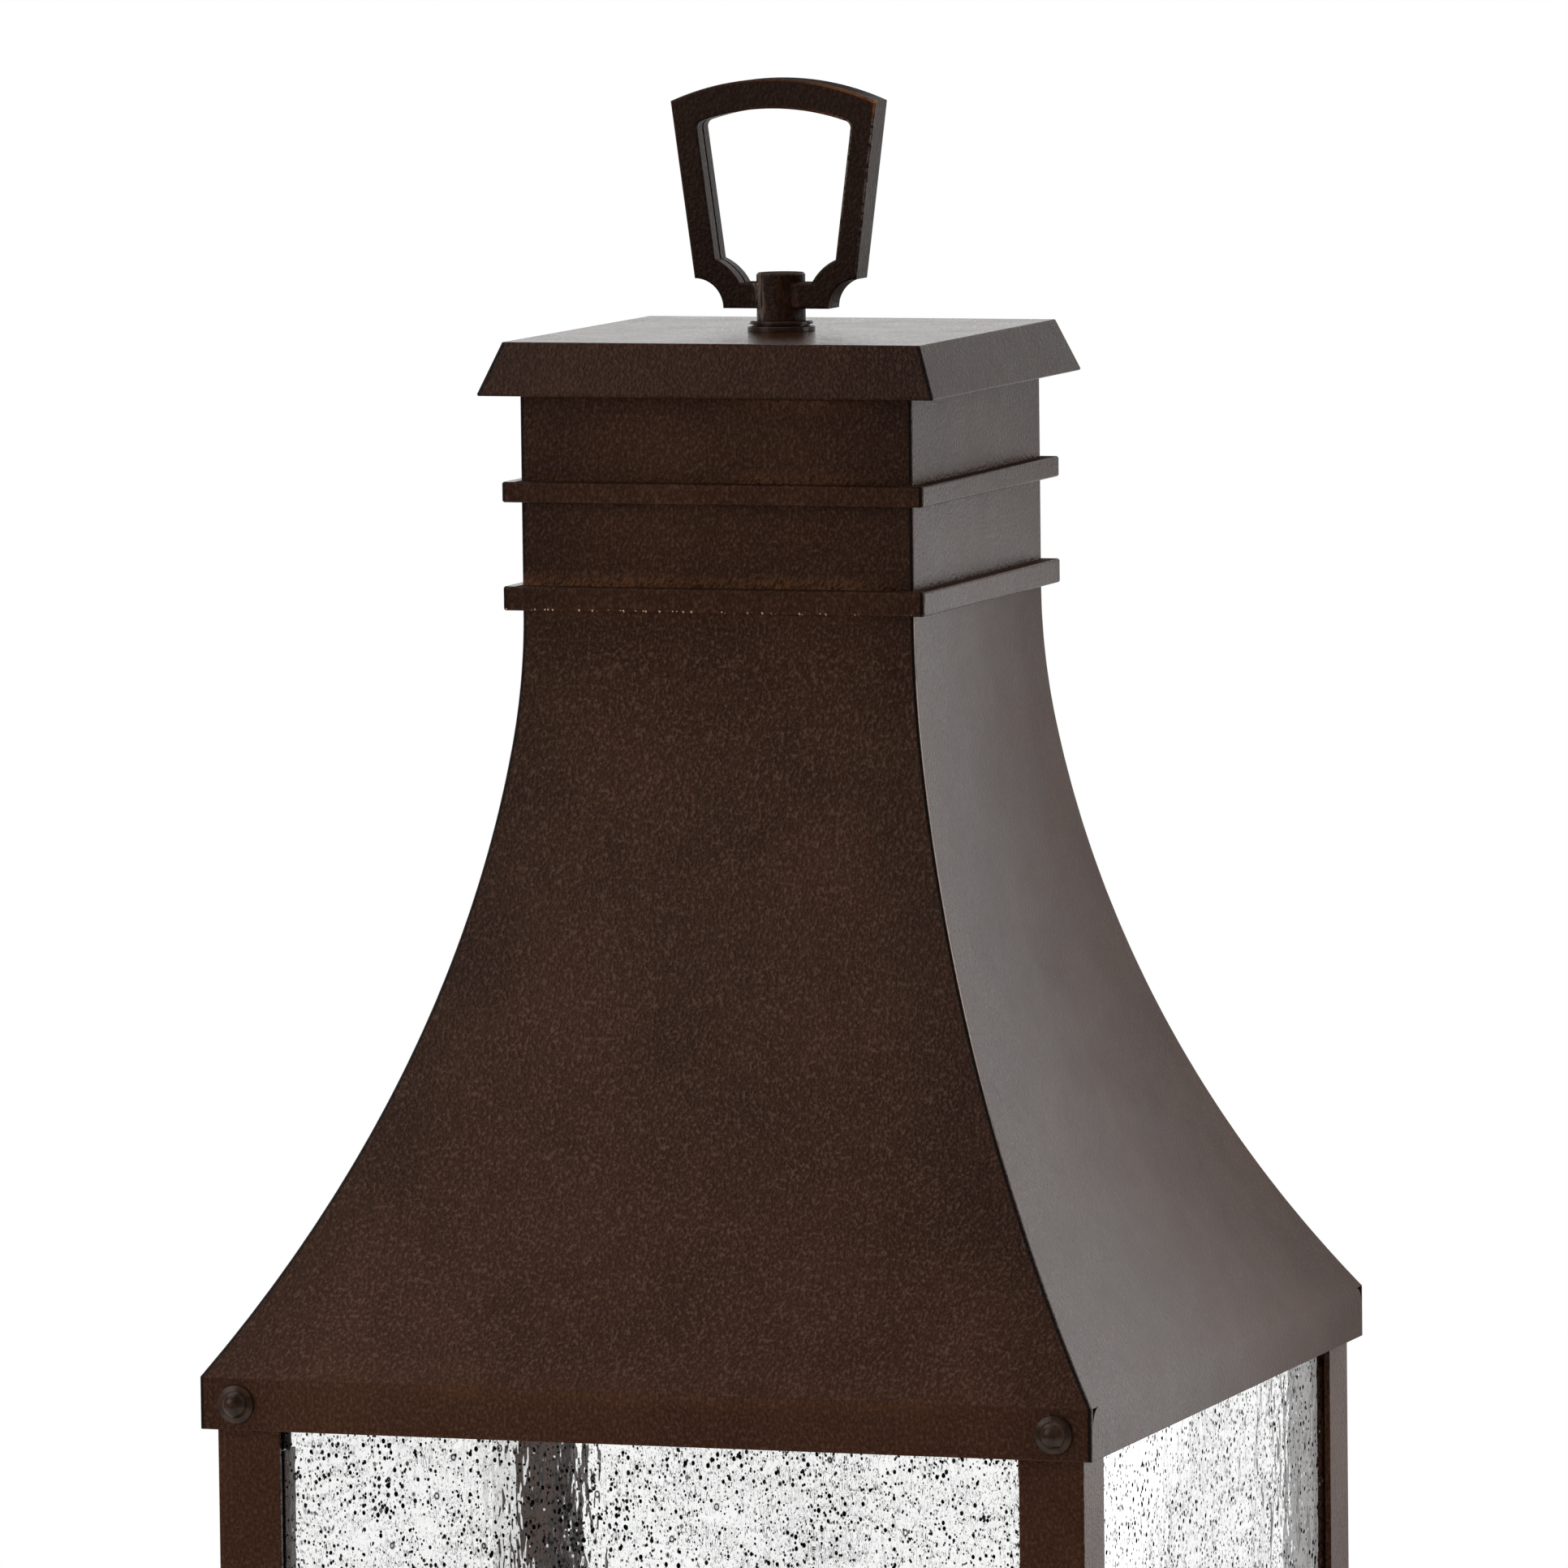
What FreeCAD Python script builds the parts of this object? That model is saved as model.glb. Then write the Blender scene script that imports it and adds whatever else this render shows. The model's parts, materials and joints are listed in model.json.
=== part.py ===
import FreeCAD
import Part

import math
import os

# Outdoor pier lamp: a square glazed lantern with a flared roof, on a short pedestal over a pier plate.
# Lengths are in millimetres. The origin is the centre of the underside, +Z is up and the front is -Y.

# Fits and overruns
THREAD_CLEARANCE = 0.05
SEAT_CLEARANCE = 0.3
LOOSE_CLEARANCE = 0.5
OVERRUN = 5.0

# Roof: upright skirt, flare of two tangent arcs, and straight neck
EAVE_HALF = 127.0
NECK_HALF = 56.4
ROOF_WALL = 2.0
ROOF_HIP_ROUND = 0.8
SKIRT_HEIGHT = 14.2
ROOF_FLARE_HEIGHT = 204.4
ROOF_FIRST_RADIUS_SHARE = 1.22
ROOF_FIRST_TURN = 8.9
NECK_LENGTH = 71.4
RELIEF_RADIUS = 5.5
RELIEF_EDGE = 1.2
RELIEF_DEPTH = 1.2

# Bands round the neck
BAND_PROUD = 4.2
BAND_CORNER = 1.1
BAND_EDGE = 0.4
LOWER_BAND_HEIGHT = 6.6
UPPER_BAND_HEIGHT = 5.6
BAND_SPACING = 23.0

# Cap plate over the neck
CAP_OVERHANG = 9.35
CAP_TAPER = 5.75
CAP_HEIGHT = 14.5
CAP_WALL = 2.0
CAP_EDGE_ROUND = 0.5

# Loop, stem and collar on the cap
COLLAR_RADIUS = 9.35
COLLAR_TOP_RADIUS = 8.75
COLLAR_GROOVE_DEPTH = 0.8
COLLAR_FOOT_HEIGHT = 1.5
COLLAR_GROOVE_HEIGHT = 0.4
COLLAR_RIM_HEIGHT = 1.0
COLLAR_EDGE = 0.3
STEM_RADIUS = 6.75
STEM_HEIGHT = 13.1
STEM_EDGE = 0.5
LOOP_LIFT = 3.4
LOOP_HEIGHT = 63.2
LOOP_DEPTH = 10.0
LOOP_FOOT_HALF = 15.3
LOOP_COVE_RADIUS = 8.2
LOOP_SHOULDER_HALF = 29.9
LOOP_ARCH_RISE = 6.2
LOOP_LIMB_WIDTH = 6.6
LOOP_FOOT_HEIGHT = 7.0
LOOP_CROWN_HEIGHT = 8.2
LOOP_INNER_CORNER = 2.0
LOOP_EDGE = 0.4
LOOP_SEAM_WIDTH = 1.0
LOOP_SEAM_DEPTH = 0.5

# Rod that holds the loop, and the bar that it pulls on
ROD_RADIUS = 3.0
ROD_STEM_COVER = 3.1
ROD_TAIL = 3.0
CROSSBAR_DROP = 26.0
CROSSBAR_WIDTH = 20.0
CROSSBAR_THICKNESS = 3.0
ROD_WASHER_RADIUS = 7.0
ROD_WASHER_THICKNESS = 1.2
ROD_NUT_FLAT_HALF = 5.0
ROD_NUT_HEIGHT = 5.0

# Knob screws through the skirt, with square nuts behind the post legs
KNOB_NUT_MARGIN = 1.35
KNOB_FLANGE_RADIUS = 5.2
KNOB_FLANGE_RIM = 0.7
KNOB_FLANGE_HEIGHT = 1.4
KNOB_DOME_RADIUS = 3.75
KNOB_DOME_HEIGHT = 2.6
KNOB_SHANK_RADIUS = 2.5
KNOB_SHANK_TAIL = 0.5
KNOB_NUT_HALF = 4.0
KNOB_NUT_THICKNESS = 4.0

# Cage of four angle posts between two frames
ROOF_CLEARANCE = 0.35
POST_LEG = 18.0
POST_WALL = 1.6
POST_LENGTH = 209.7
POST_CORNER = 0.8
TOP_FRAME_WALL = 1.2
TOP_FRAME_DEPTH = 10.0
TOP_FRAME_SHELF = 14.0
BOTTOM_FRAME_WALL = 1.6
BOTTOM_FRAME_HEIGHT = 14.0
BOTTOM_SHELF_MARGIN = 0.75
GUSSET_LEG = 30.0
GUSSET_THICKNESS = 2.0
GUSSET_HEADROOM = 0.7

# Glass panes and the corner clips behind them
GLASS_THICKNESS = 3.0
GLASS_NUT_GAP = 0.65
GLASS_ARRIS = 0.3
GLASS_HEADROOM = 2.0
CLIP_THICKNESS = 1.0
CLIP_HEIGHT = 8.5
CLIP_TONGUE = 7.9
CLIP_TOP_DROP = 0.5
CLIP_FOOT_LIFT = 3.0

# Floor of the lantern and its screws
FLOOR_THICKNESS = 1.6
FLOOR_MARGIN = 1.5
FLOOR_NOTCH_MARGIN = 0.6
FLOOR_SCREW_RADIUS = 2.0
FLOOR_SCREW_HEAD_RADIUS = 3.8
FLOOR_SCREW_HEAD_HEIGHT = 2.4
FLOOR_SCREW_TAIL = 1.0
FLOOR_NUT_FLAT_HALF = 3.5
FLOOR_NUT_HEIGHT = 3.2

# Pan under the lantern, pedestal column with its band, and base cover
PAN_INSET = 9.45
PAN_FOOT_LEDGE = 10.0
PAN_TAPER_HEIGHT = 11.0
PAN_RIM_MARGIN = 2.8
PAN_WALL = 2.0
PAN_WEB = 3.0
PAN_LIP = 14.0
PAN_HIP_ROUND = 0.8
COLUMN_HALF = 42.0
COLUMN_WALL = 2.5
COLUMN_HEIGHT = 24.0
PEDESTAL_BAND_HEIGHT = 6.6
BASE_HALF = 82.0
BASE_WALL = 2.0
BASE_HIP_ROUND = 0.8
BASE_WEB = 3.0
BASE_SKIRT_HEIGHT = 16.0
BASE_FLARE_HEIGHT = 44.0
BASE_FIRST_RADIUS_SHARE = 1.0
BASE_FIRST_TURN = 12.0

# Threaded pipe through the pedestal
PIPE_RADIUS = 5.0
PIPE_WALL = 1.5
PIPE_NUT_FLAT_HALF = 8.0
PIPE_NUT_HEIGHT = 4.0
PIPE_WASHER_RADIUS = 11.0
PIPE_WASHER_THICKNESS = 1.2
PIPE_TAIL = 2.0

# Plate that is bolted to the pier, with upturned ears for the base screws
PLATE_THICKNESS = 3.0
PLATE_CORNER = 6.0
PLATE_WIRE_RADIUS = 25.0
ANCHOR_SPACING = 101.6
ANCHOR_RADIUS = 3.5
EAR_WIDTH = 24.0
EAR_TOP = 12.0
BASE_SCREW_RADIUS = 2.0
BASE_SCREW_HEAD_RADIUS = 3.6
BASE_SCREW_HEAD_HEIGHT = 2.2
BASE_SCREW_TAIL = 2.0
GROUND_SCREW_MARGIN = 15.0
GROUND_SCREW_RADIUS = 2.0
GROUND_SCREW_HEAD_RADIUS = 4.0
GROUND_SCREW_HEAD_HEIGHT = 2.6

# Candle cluster: hub, cups, sleeves, sockets and lamps
CANDLE_COUNT = 3
CANDLE_CIRCLE = 31.0
HUB_MARGIN = 3.0
HUB_HEIGHT = 12.0
HUB_WALL = 1.5
HUB_EDGE = 2.0
CUP_FOOT_MARGIN = 1.3
CUP_FLARE = 4.0
CUP_HEIGHT = 6.5
CUP_WALL = 1.2
SLEEVE_RADIUS = 10.7
SLEEVE_WALL = 1.5
SLEEVE_HEIGHT = 50.0
SOCKET_CLEARANCE = 0.6
SOCKET_RECESS = 2.5
SOCKET_DEPTH = 26.5
BULB_CONTACT_RADIUS = 2.4
BULB_CONTACT_HEIGHT = 2.5
BULB_BASE_RADIUS = 5.9
BULB_BASE_HEIGHT = 19.0
BULB_NECK_DEPTH = 2.5
BULB_NECK_INSET = 0.5
BULB_RADIUS = 15.5
BULB_BELLY_ARC = 14.0
BULB_WAIST_ARC = 12.0
BULB_TIP_ARC = 2.8
BULB_LENGTH = 79.0
BULB_WALL = 0.8
BULB_WAIST_SHARE = 0.08
BULB_BELLY_SHARE = 0.42

# Levels that follow from the sizes above
PAN_RIM_HEIGHT = PAN_WALL + FLOOR_NUT_HEIGHT + FLOOR_SCREW_TAIL + PAN_RIM_MARGIN
COLUMN_LOW = BASE_SKIRT_HEIGHT + BASE_FLARE_HEIGHT
PAN_LOW = COLUMN_LOW + COLUMN_HEIGHT
BODY_LOW = PAN_LOW + PAN_TAPER_HEIGHT + PAN_RIM_HEIGHT
SHELF_TOP = BODY_LOW + BOTTOM_FRAME_WALL
POST_TOP = SHELF_TOP + POST_LENGTH
FRAME_TOP = POST_TOP + TOP_FRAME_WALL
SKIRT_TOP = FRAME_TOP + GUSSET_THICKNESS + GUSSET_HEADROOM
SKIRT_LOW = SKIRT_TOP - SKIRT_HEIGHT
FLARE_TOP = SKIRT_TOP + ROOF_FLARE_HEIGHT
SEAM_LEVEL = FLARE_TOP + LOWER_BAND_HEIGHT / 2
NECK_TOP = FLARE_TOP + NECK_LENGTH
CAP_TOP = NECK_TOP + CAP_WALL
COLLAR_FOOT_TOP = CAP_TOP + COLLAR_FOOT_HEIGHT
COLLAR_RIM_LOW = COLLAR_FOOT_TOP + COLLAR_GROOVE_HEIGHT
COLLAR_TOP = COLLAR_RIM_LOW + COLLAR_RIM_HEIGHT
ROD_TOP = COLLAR_TOP + STEM_HEIGHT - ROD_STEM_COVER
KNOB_HEIGHT = (SKIRT_LOW + SKIRT_TOP) / 2
FLOOR_TOP = SHELF_TOP + FLOOR_THICKNESS
HUB_TOP = FLOOR_TOP + HUB_HEIGHT
CUP_TOP = HUB_TOP + CUP_WALL
SLEEVE_TOP = CUP_TOP + SLEEVE_HEIGHT
SOCKET_TOP = SLEEVE_TOP - SOCKET_RECESS
SOCKET_FLOOR = SOCKET_TOP - SOCKET_DEPTH
BULB_LOW = SOCKET_FLOOR + SEAT_CLEARANCE
BULB_BASE_TOP = BULB_LOW + BULB_CONTACT_HEIGHT + BULB_BASE_HEIGHT
BASE_SCREW_LEVEL = (PLATE_THICKNESS + EAR_TOP) / 2

# Half-widths that follow from the sizes above
CAP_RIM_HALF = NECK_HALF + CAP_OVERHANG
CAP_TOP_HALF = CAP_RIM_HALF - CAP_TAPER
SKIRT_INNER_HALF = EAVE_HALF - ROOF_WALL
POST_HALF = SKIRT_INNER_HALF - ROOF_CLEARANCE - TOP_FRAME_WALL
LEG_INNER_HALF = POST_HALF - POST_WALL
LEG_EDGE = POST_HALF - POST_LEG
KNOB_PLACE = LEG_INNER_HALF - KNOB_NUT_MARGIN - KNOB_NUT_HALF
KNOB_NUT_BACK = LEG_INNER_HALF - KNOB_NUT_THICKNESS
KNOB_SHANK_END = KNOB_NUT_BACK - KNOB_SHANK_TAIL
GLASS_FACE = LEG_INNER_HALF - SEAT_CLEARANCE
GLASS_BACK = GLASS_FACE - GLASS_THICKNESS
GLASS_HALF = KNOB_PLACE - KNOB_NUT_HALF - GLASS_NUT_GAP
FLOOR_HALF = GLASS_BACK - FLOOR_MARGIN
PAN_TOP_HALF = POST_HALF - PAN_INSET
PAN_FOOT_HALF = COLUMN_HALF + PAN_FOOT_LEDGE
FLOOR_SCREW_PLACE = PAN_TOP_HALF - (PAN_WALL + PAN_LIP) / 2
BOTTOM_SHELF_HALF = FLOOR_SCREW_PLACE - FLOOR_SCREW_HEAD_RADIUS - BOTTOM_SHELF_MARGIN
PLATE_HALF = BASE_HALF - BASE_WALL - SEAT_CLEARANCE
EAR_BACK = PLATE_HALF - PLATE_THICKNESS
GROUND_SCREW_PLACE = PLATE_WIRE_RADIUS + GROUND_SCREW_MARGIN

# Radii that follow from the sizes above
CUP_FOOT_RADIUS = SLEEVE_RADIUS + CUP_FOOT_MARGIN
CUP_RIM_RADIUS = CUP_FOOT_RADIUS + CUP_FLARE
HUB_RADIUS = CANDLE_CIRCLE + CUP_RIM_RADIUS + HUB_MARGIN
SOCKET_RADIUS = SLEEVE_RADIUS - SLEEVE_WALL - SOCKET_CLEARANCE
BULB_NECK_RADIUS = BULB_BASE_RADIUS - BULB_NECK_INSET

CORNERS = {
    "front_left": (-1, -1),
    "front_right": (1, -1),
    "back_left": (-1, 1),
    "back_right": (1, 1),
}
SIDES = {"front": 0, "right": 90, "back": 180, "left": 270}

AXIS_X = FreeCAD.Vector(1, 0, 0)
AXIS_Y = FreeCAD.Vector(0, 1, 0)
AXIS_Z = FreeCAD.Vector(0, 0, 1)
DIAGONAL = FreeCAD.Vector(1, -1, 0)
ORIGIN = FreeCAD.Vector(0, 0, 0)


# Plain solids and outlines

def block(low, high):
    """Box between two corner points."""
    size = [b - a for a, b in zip(low, high)]
    return Part.makeBox(*size, FreeCAD.Vector(*low))


def square_prism(half, low, high):
    """Square prism on the lamp's axis."""
    return block((-half, -half, low), (half, half, high))


def rounded_prism(half, corner, low, high):
    """Square prism on the lamp's axis with round upright edges."""
    prism = square_prism(half, low, high)
    upright = [edge for edge in prism.Edges if edge.BoundBox.ZLength > (high - low) / 2]
    return prism.makeFillet(corner, upright)


def square_tube(outer, inner, low, high):
    """Square tube on the lamp's axis, open at both ends."""
    return square_prism(outer, low, high).cut(square_prism(inner, low - OVERRUN, high + OVERRUN))


def rounded_tube(outer, inner, corner, low, high):
    """Square tube on the lamp's axis with round upright edges outside, open at both ends."""
    return rounded_prism(outer, corner, low, high).cut(square_prism(inner, low - OVERRUN, high + OVERRUN))


def disc(radius, low, high, x=0, y=0):
    """Round prism along Z."""
    return Part.makeCylinder(radius, high - low, FreeCAD.Vector(x, y, low), AXIS_Z)


def hexagon(flat_half, low, high):
    """Hexagonal prism along Z, on the lamp's axis."""
    corner = flat_half / math.cos(math.pi / 6)
    angles = [step * math.pi / 3 for step in range(7)]
    points = [FreeCAD.Vector(corner * math.cos(a), corner * math.sin(a), low) for a in angles]
    return Part.Face(Part.makePolygon(points)).extrude(FreeCAD.Vector(0, 0, high - low))


def frustum(low_half, high_half, low, high):
    """Square frustum on the lamp's axis."""
    wires = []
    for half, level in ((low_half, low), (high_half, high)):
        places = [(-half, -half), (half, -half), (half, half), (-half, half), (-half, -half)]
        wires.append(Part.makePolygon([FreeCAD.Vector(x, y, level) for x, y in places]))
    return Part.makeLoft(wires, True, True)


def path_face(start, steps):
    """Flat face in the XZ plane: a step of one point is a line, one of two points is an arc."""
    edges = []
    here = start
    for step in steps:
        points = [FreeCAD.Vector(x, 0, z) for x, z in [here] + step]
        curve = Part.LineSegment(*points) if len(points) == 2 else Part.Arc(*points)
        edges.append(curve.toShape())
        here = step[-1]
    return Part.Face(Part.Wire(edges))


def mirrored_face(start, steps, bridge=()):
    """Face whose outline climbs the right side, crosses over and comes down as the mirror image."""
    nodes = [start] + [step[-1] for step in steps]
    back = [list(bridge) + [(-nodes[-1][0], nodes[-1][1])]]
    for step, node in reversed(list(zip(steps, nodes))):
        back.append([(-x, z) for x, z in step[:-1] + [node]])
    return path_face(start, steps + back + [[start]])


def on_circle(centre, radius, angle):
    """Point of a circle in the XZ plane."""
    return (centre[0] + radius * math.cos(angle), centre[1] + radius * math.sin(angle))


def tangent_angle(centre, other, reach, side):
    """Angle of the normal of a line that passes two circles. The reach is the first radius less the
    second, or their sum where the line crosses between them, and the side is 1 or -1."""
    towards = math.atan2(other[1] - centre[1], other[0] - centre[0])
    return towards + side * math.acos(reach / math.dist(centre, other))


def turned(start, steps):
    """Solid of revolution about Z from an outline of radii and levels."""
    return path_face(start, steps + [[start]]).revolve(ORIGIN, AXIS_Z, 360)


def to_corner(shape, side_x, side_y):
    """A shape modelled in the +X +Y quarter, mirrored into the corner on the given sides."""
    result = shape.copy()
    if side_x < 0:
        result = result.mirror(ORIGIN, AXIS_X)
    if side_y < 0:
        result = result.mirror(ORIGIN, AXIS_Y)
    return result


def all_corners(shape):
    """Four copies of a shape modelled in the +X +Y quarter, one in each corner."""
    return [to_corner(shape, side_x, side_y) for side_x, side_y in CORNERS.values()]


def rotated(shape, angle):
    """Copy of a shape turned about Z."""
    copy = shape.copy()
    copy.rotate(ORIGIN, AXIS_Z, angle)
    return copy


def quarter_turns(shape):
    """Four copies of a shape, a quarter turn apart about Z."""
    return [rotated(shape, angle) for angle in SIDES.values()]


def cut_all(shape, tools):
    """Shape less every tool."""
    for tool in tools:
        shape = shape.cut(tool)
    return shape


def facing_back(shape, x, y, level):
    """A shape modelled along +Z, turned to point along +Y and put in its place."""
    copy = shape.copy()
    copy.rotate(ORIGIN, AXIS_X, -90)
    copy.translate(FreeCAD.Vector(x, y, level))
    return copy


# Flared square shells

def flare_steps(narrow, wide, skirt_top, flare_top, first_share, first_turn, inset):
    """Steps from the skirt up to the narrow end: two tangent arcs, or their inner side at an inset."""
    turn = math.radians(first_turn)
    first = (flare_top - skirt_top) * first_share
    rest_run = wide - narrow - first * (1 - math.cos(turn))
    rest_rise = flare_top - skirt_top - first * math.sin(turn)
    last_turn = 2 * math.atan2(rest_run, rest_rise) - turn
    second = rest_rise / (math.sin(last_turn) - math.sin(turn))
    second_centre = (wide + second * math.cos(last_turn), skirt_top + second * math.sin(last_turn))
    first_centre = (narrow + first, flare_top)
    end = math.acos((second * math.cos(last_turn) + inset) / (second + inset))

    def on_second(angle):
        return on_circle(second_centre, second + inset, math.pi + angle)

    def on_first(angle):
        return on_circle(first_centre, first + inset, math.pi + angle)

    return [
        [on_second(end)],
        [on_second((end + turn) / 2), on_second(turn)],
        [on_first(turn / 2), on_first(0)],
    ]


def hips_rounded(shape, radius):
    """Shape with every edge that climbs made round."""
    return shape.makeFillet(radius, [edge for edge in shape.Edges if edge.BoundBox.ZLength > radius])


def groined(face, half):
    """Solid that shows the same face from the front and from the side, mitred at its hips."""
    along_y = face.extrude(FreeCAD.Vector(0, 2 * half, 0))
    along_y.translate(FreeCAD.Vector(0, -half, 0))
    return along_y.common(rotated(along_y, 90))


def flared_shell(narrow, wide, wall, hip_round, levels, first_share, first_turn, hollow_top):
    """Hollow four-sided flare on an upright skirt. The levels are its foot, skirt top, flare top and top."""
    low, skirt_top, flare_top, top = levels
    flare = (narrow, wide, skirt_top, flare_top, first_share, first_turn)
    outer = groined(mirrored_face((wide, low), flare_steps(*flare, 0) + [[(narrow, top)]]), wide)
    inner_start = (wide - wall, low - OVERRUN)
    inner_end = (narrow - wall, top + OVERRUN)
    inner = groined(mirrored_face(inner_start, flare_steps(*flare, wall) + [[inner_end]]), wide)
    return hips_rounded(outer, hip_round).cut(inner.common(square_prism(wide, low - OVERRUN, hollow_top)))


# Roof

def knob_drill(radius, low, high):
    """Round prism along Y on the axis of a knob screw, between two distances from the lamp's axis."""
    return facing_back(disc(radius, 0, high - low), KNOB_PLACE, low, KNOB_HEIGHT)


def skirt_relief():
    """Shallow pocket in the right side by the back corner, over the round corner of the side's skirt."""
    edge = EAVE_HALF - RELIEF_EDGE
    pocket = block((EAVE_HALF - RELIEF_DEPTH, edge - RELIEF_RADIUS, SKIRT_TOP - RELIEF_RADIUS),
                   (EAVE_HALF + OVERRUN, edge, SKIRT_TOP))
    centre = FreeCAD.Vector(0, edge - RELIEF_RADIUS, SKIRT_TOP - RELIEF_RADIUS)
    return pocket.cut(Part.makeCylinder(RELIEF_RADIUS, EAVE_HALF + 2 * OVERRUN, centre, AXIS_X))


def roof_shell():
    """Skirt and flare in one sheet, with holes for the knob screws and relieved skirt corners."""
    levels = (SKIRT_LOW, SKIRT_TOP, FLARE_TOP, SEAM_LEVEL)
    shell = flared_shell(NECK_HALF, EAVE_HALF, ROOF_WALL, ROOF_HIP_ROUND, levels,
                         ROOF_FIRST_RADIUS_SHARE, ROOF_FIRST_TURN, SEAM_LEVEL + OVERRUN)
    hole = knob_drill(KNOB_SHANK_RADIUS + THREAD_CLEARANCE, SKIRT_INNER_HALF - OVERRUN, EAVE_HALF + OVERRUN)
    return cut_all(shell, all_corners(hole) + all_corners(skirt_relief()))


def roof_neck():
    """Straight square tube from the seam under the lower band up to the cap."""
    return rounded_tube(NECK_HALF, NECK_HALF - ROOF_WALL, ROOF_HIP_ROUND, SEAM_LEVEL, NECK_TOP)


def band(inner, low, height):
    """Square band with round upright corners and softened rims."""
    ring = rounded_prism(inner + BAND_PROUD, BAND_CORNER, low, low + height)
    rims = [edge for edge in ring.Edges if edge.BoundBox.ZLength < BAND_EDGE]
    ring = ring.makeChamfer(BAND_EDGE, rims)
    return ring.cut(square_prism(inner, low - OVERRUN, low + height + OVERRUN))


def roof_cap():
    """Thin frustum over the neck, open below, with a hole for the rod."""
    rim = CAP_TOP - CAP_HEIGHT
    slope = (CAP_RIM_HALF - CAP_TOP_HALF) / CAP_HEIGHT
    side = CAP_WALL * math.hypot(1, slope)
    outer = frustum(CAP_RIM_HALF, CAP_TOP_HALF, rim, CAP_TOP)
    outer = outer.makeFillet(CAP_EDGE_ROUND, outer.Edges)
    inner = frustum(CAP_RIM_HALF - side + slope * OVERRUN, CAP_TOP_HALF - side + slope * CAP_WALL,
                    rim - OVERRUN, NECK_TOP)
    return outer.cut(inner).cut(disc(ROD_RADIUS, NECK_TOP - OVERRUN, CAP_TOP + OVERRUN))


def roof_gussets():
    """Corner plates inside the skirt that rest on the top frame."""
    half = SKIRT_INNER_HALF
    points = [(half, half), (half - GUSSET_LEG, half), (half, half - GUSSET_LEG), (half, half)]
    outline = Part.makePolygon([FreeCAD.Vector(x, y, FRAME_TOP) for x, y in points])
    return all_corners(Part.Face(outline).extrude(FreeCAD.Vector(0, 0, GUSSET_THICKNESS)))


# Loop, collar and the rod under them

def line_to_circle(point, direction, centre, radius):
    """Point ahead on a line where it leaves a circle."""
    across = (point[0] - centre[0], point[1] - centre[1])
    along = across[0] * direction[0] + across[1] * direction[1]
    ahead = math.sqrt(along ** 2 + radius ** 2 - across[0] ** 2 - across[1] ** 2) - along
    return (point[0] + ahead * direction[0], point[1] + ahead * direction[1])


def loop_points():
    """Centre of the cove, and the lower and upper end of the limb's outer side."""
    cove = (LOOP_FOOT_HALF + LOOP_COVE_RADIUS, 0)
    hip = (cove[0], LOOP_COVE_RADIUS)
    return cove, hip, (LOOP_SHOULDER_HALF, LOOP_HEIGHT - LOOP_ARCH_RISE)


def loop_opening(grow, depth):
    """Prism that fills the loop's opening, grown all round: coved below, splayed and arched above."""
    cove, hip, shoulder = loop_points()
    length = math.dist(hip, shoulder)
    direction = ((shoulder[0] - hip[0]) / length, (shoulder[1] - hip[1]) / length)
    limb = LOOP_LIMB_WIDTH - grow
    cove_radius = LOOP_COVE_RADIUS + limb
    foot_angle = math.pi - math.asin((LOOP_FOOT_HEIGHT - grow) / cove_radius)
    side = (hip[0] - limb * direction[1], hip[1] + limb * direction[0])
    inner_hip = line_to_circle(side, direction, cove, cove_radius)
    hip_angle = math.atan2(inner_hip[1], inner_hip[0] - cove[0])
    crown_radius = (LOOP_SHOULDER_HALF ** 2 + LOOP_ARCH_RISE ** 2) / (2 * LOOP_ARCH_RISE)
    crown = (0, LOOP_HEIGHT - crown_radius)
    crown_height = LOOP_CROWN_HEIGHT - grow
    inner_shoulder = line_to_circle(side, direction, crown, crown_radius - crown_height)
    cove_middle = on_circle(cove, cove_radius, (foot_angle + hip_angle) / 2)
    face = mirrored_face(on_circle(cove, cove_radius, foot_angle),
                         [[cove_middle, inner_hip], [inner_shoulder]],
                         [(0, LOOP_HEIGHT - crown_height)])
    opening = face.extrude(FreeCAD.Vector(0, depth, 0))
    opening.translate(FreeCAD.Vector(0, -depth / 2, 0))
    corners = [edge for edge in opening.Edges
               if edge.BoundBox.ZLength < LOOP_EDGE
               and edge.BoundBox.YLength > LOOP_EDGE
               and abs(edge.BoundBox.Center.z - inner_shoulder[1]) < LOOP_EDGE]
    return opening.makeFillet(LOOP_INNER_CORNER + grow, corners)


def loop_frame():
    """Flat loop, foot at level 0: coved lower corners, splayed limbs and an arched crown, with the
    casting's seam as a fine groove round the opening."""
    cove, hip, shoulder = loop_points()
    cove_middle = on_circle(cove, LOOP_COVE_RADIUS, 3 * math.pi / 4)
    outline = mirrored_face((LOOP_FOOT_HALF, 0), [[cove_middle, hip], [shoulder]], [(0, LOOP_HEIGHT)])
    frame = outline.extrude(FreeCAD.Vector(0, LOOP_DEPTH, 0))
    frame.translate(FreeCAD.Vector(0, -LOOP_DEPTH / 2, 0))
    frame = frame.cut(loop_opening(0, LOOP_DEPTH + 2 * OVERRUN))
    rims = [edge for edge in frame.Edges if edge.BoundBox.YLength < LOOP_EDGE]
    return frame.makeChamfer(LOOP_EDGE, rims).cut(loop_opening(LOOP_SEAM_DEPTH, LOOP_SEAM_WIDTH))


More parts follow.
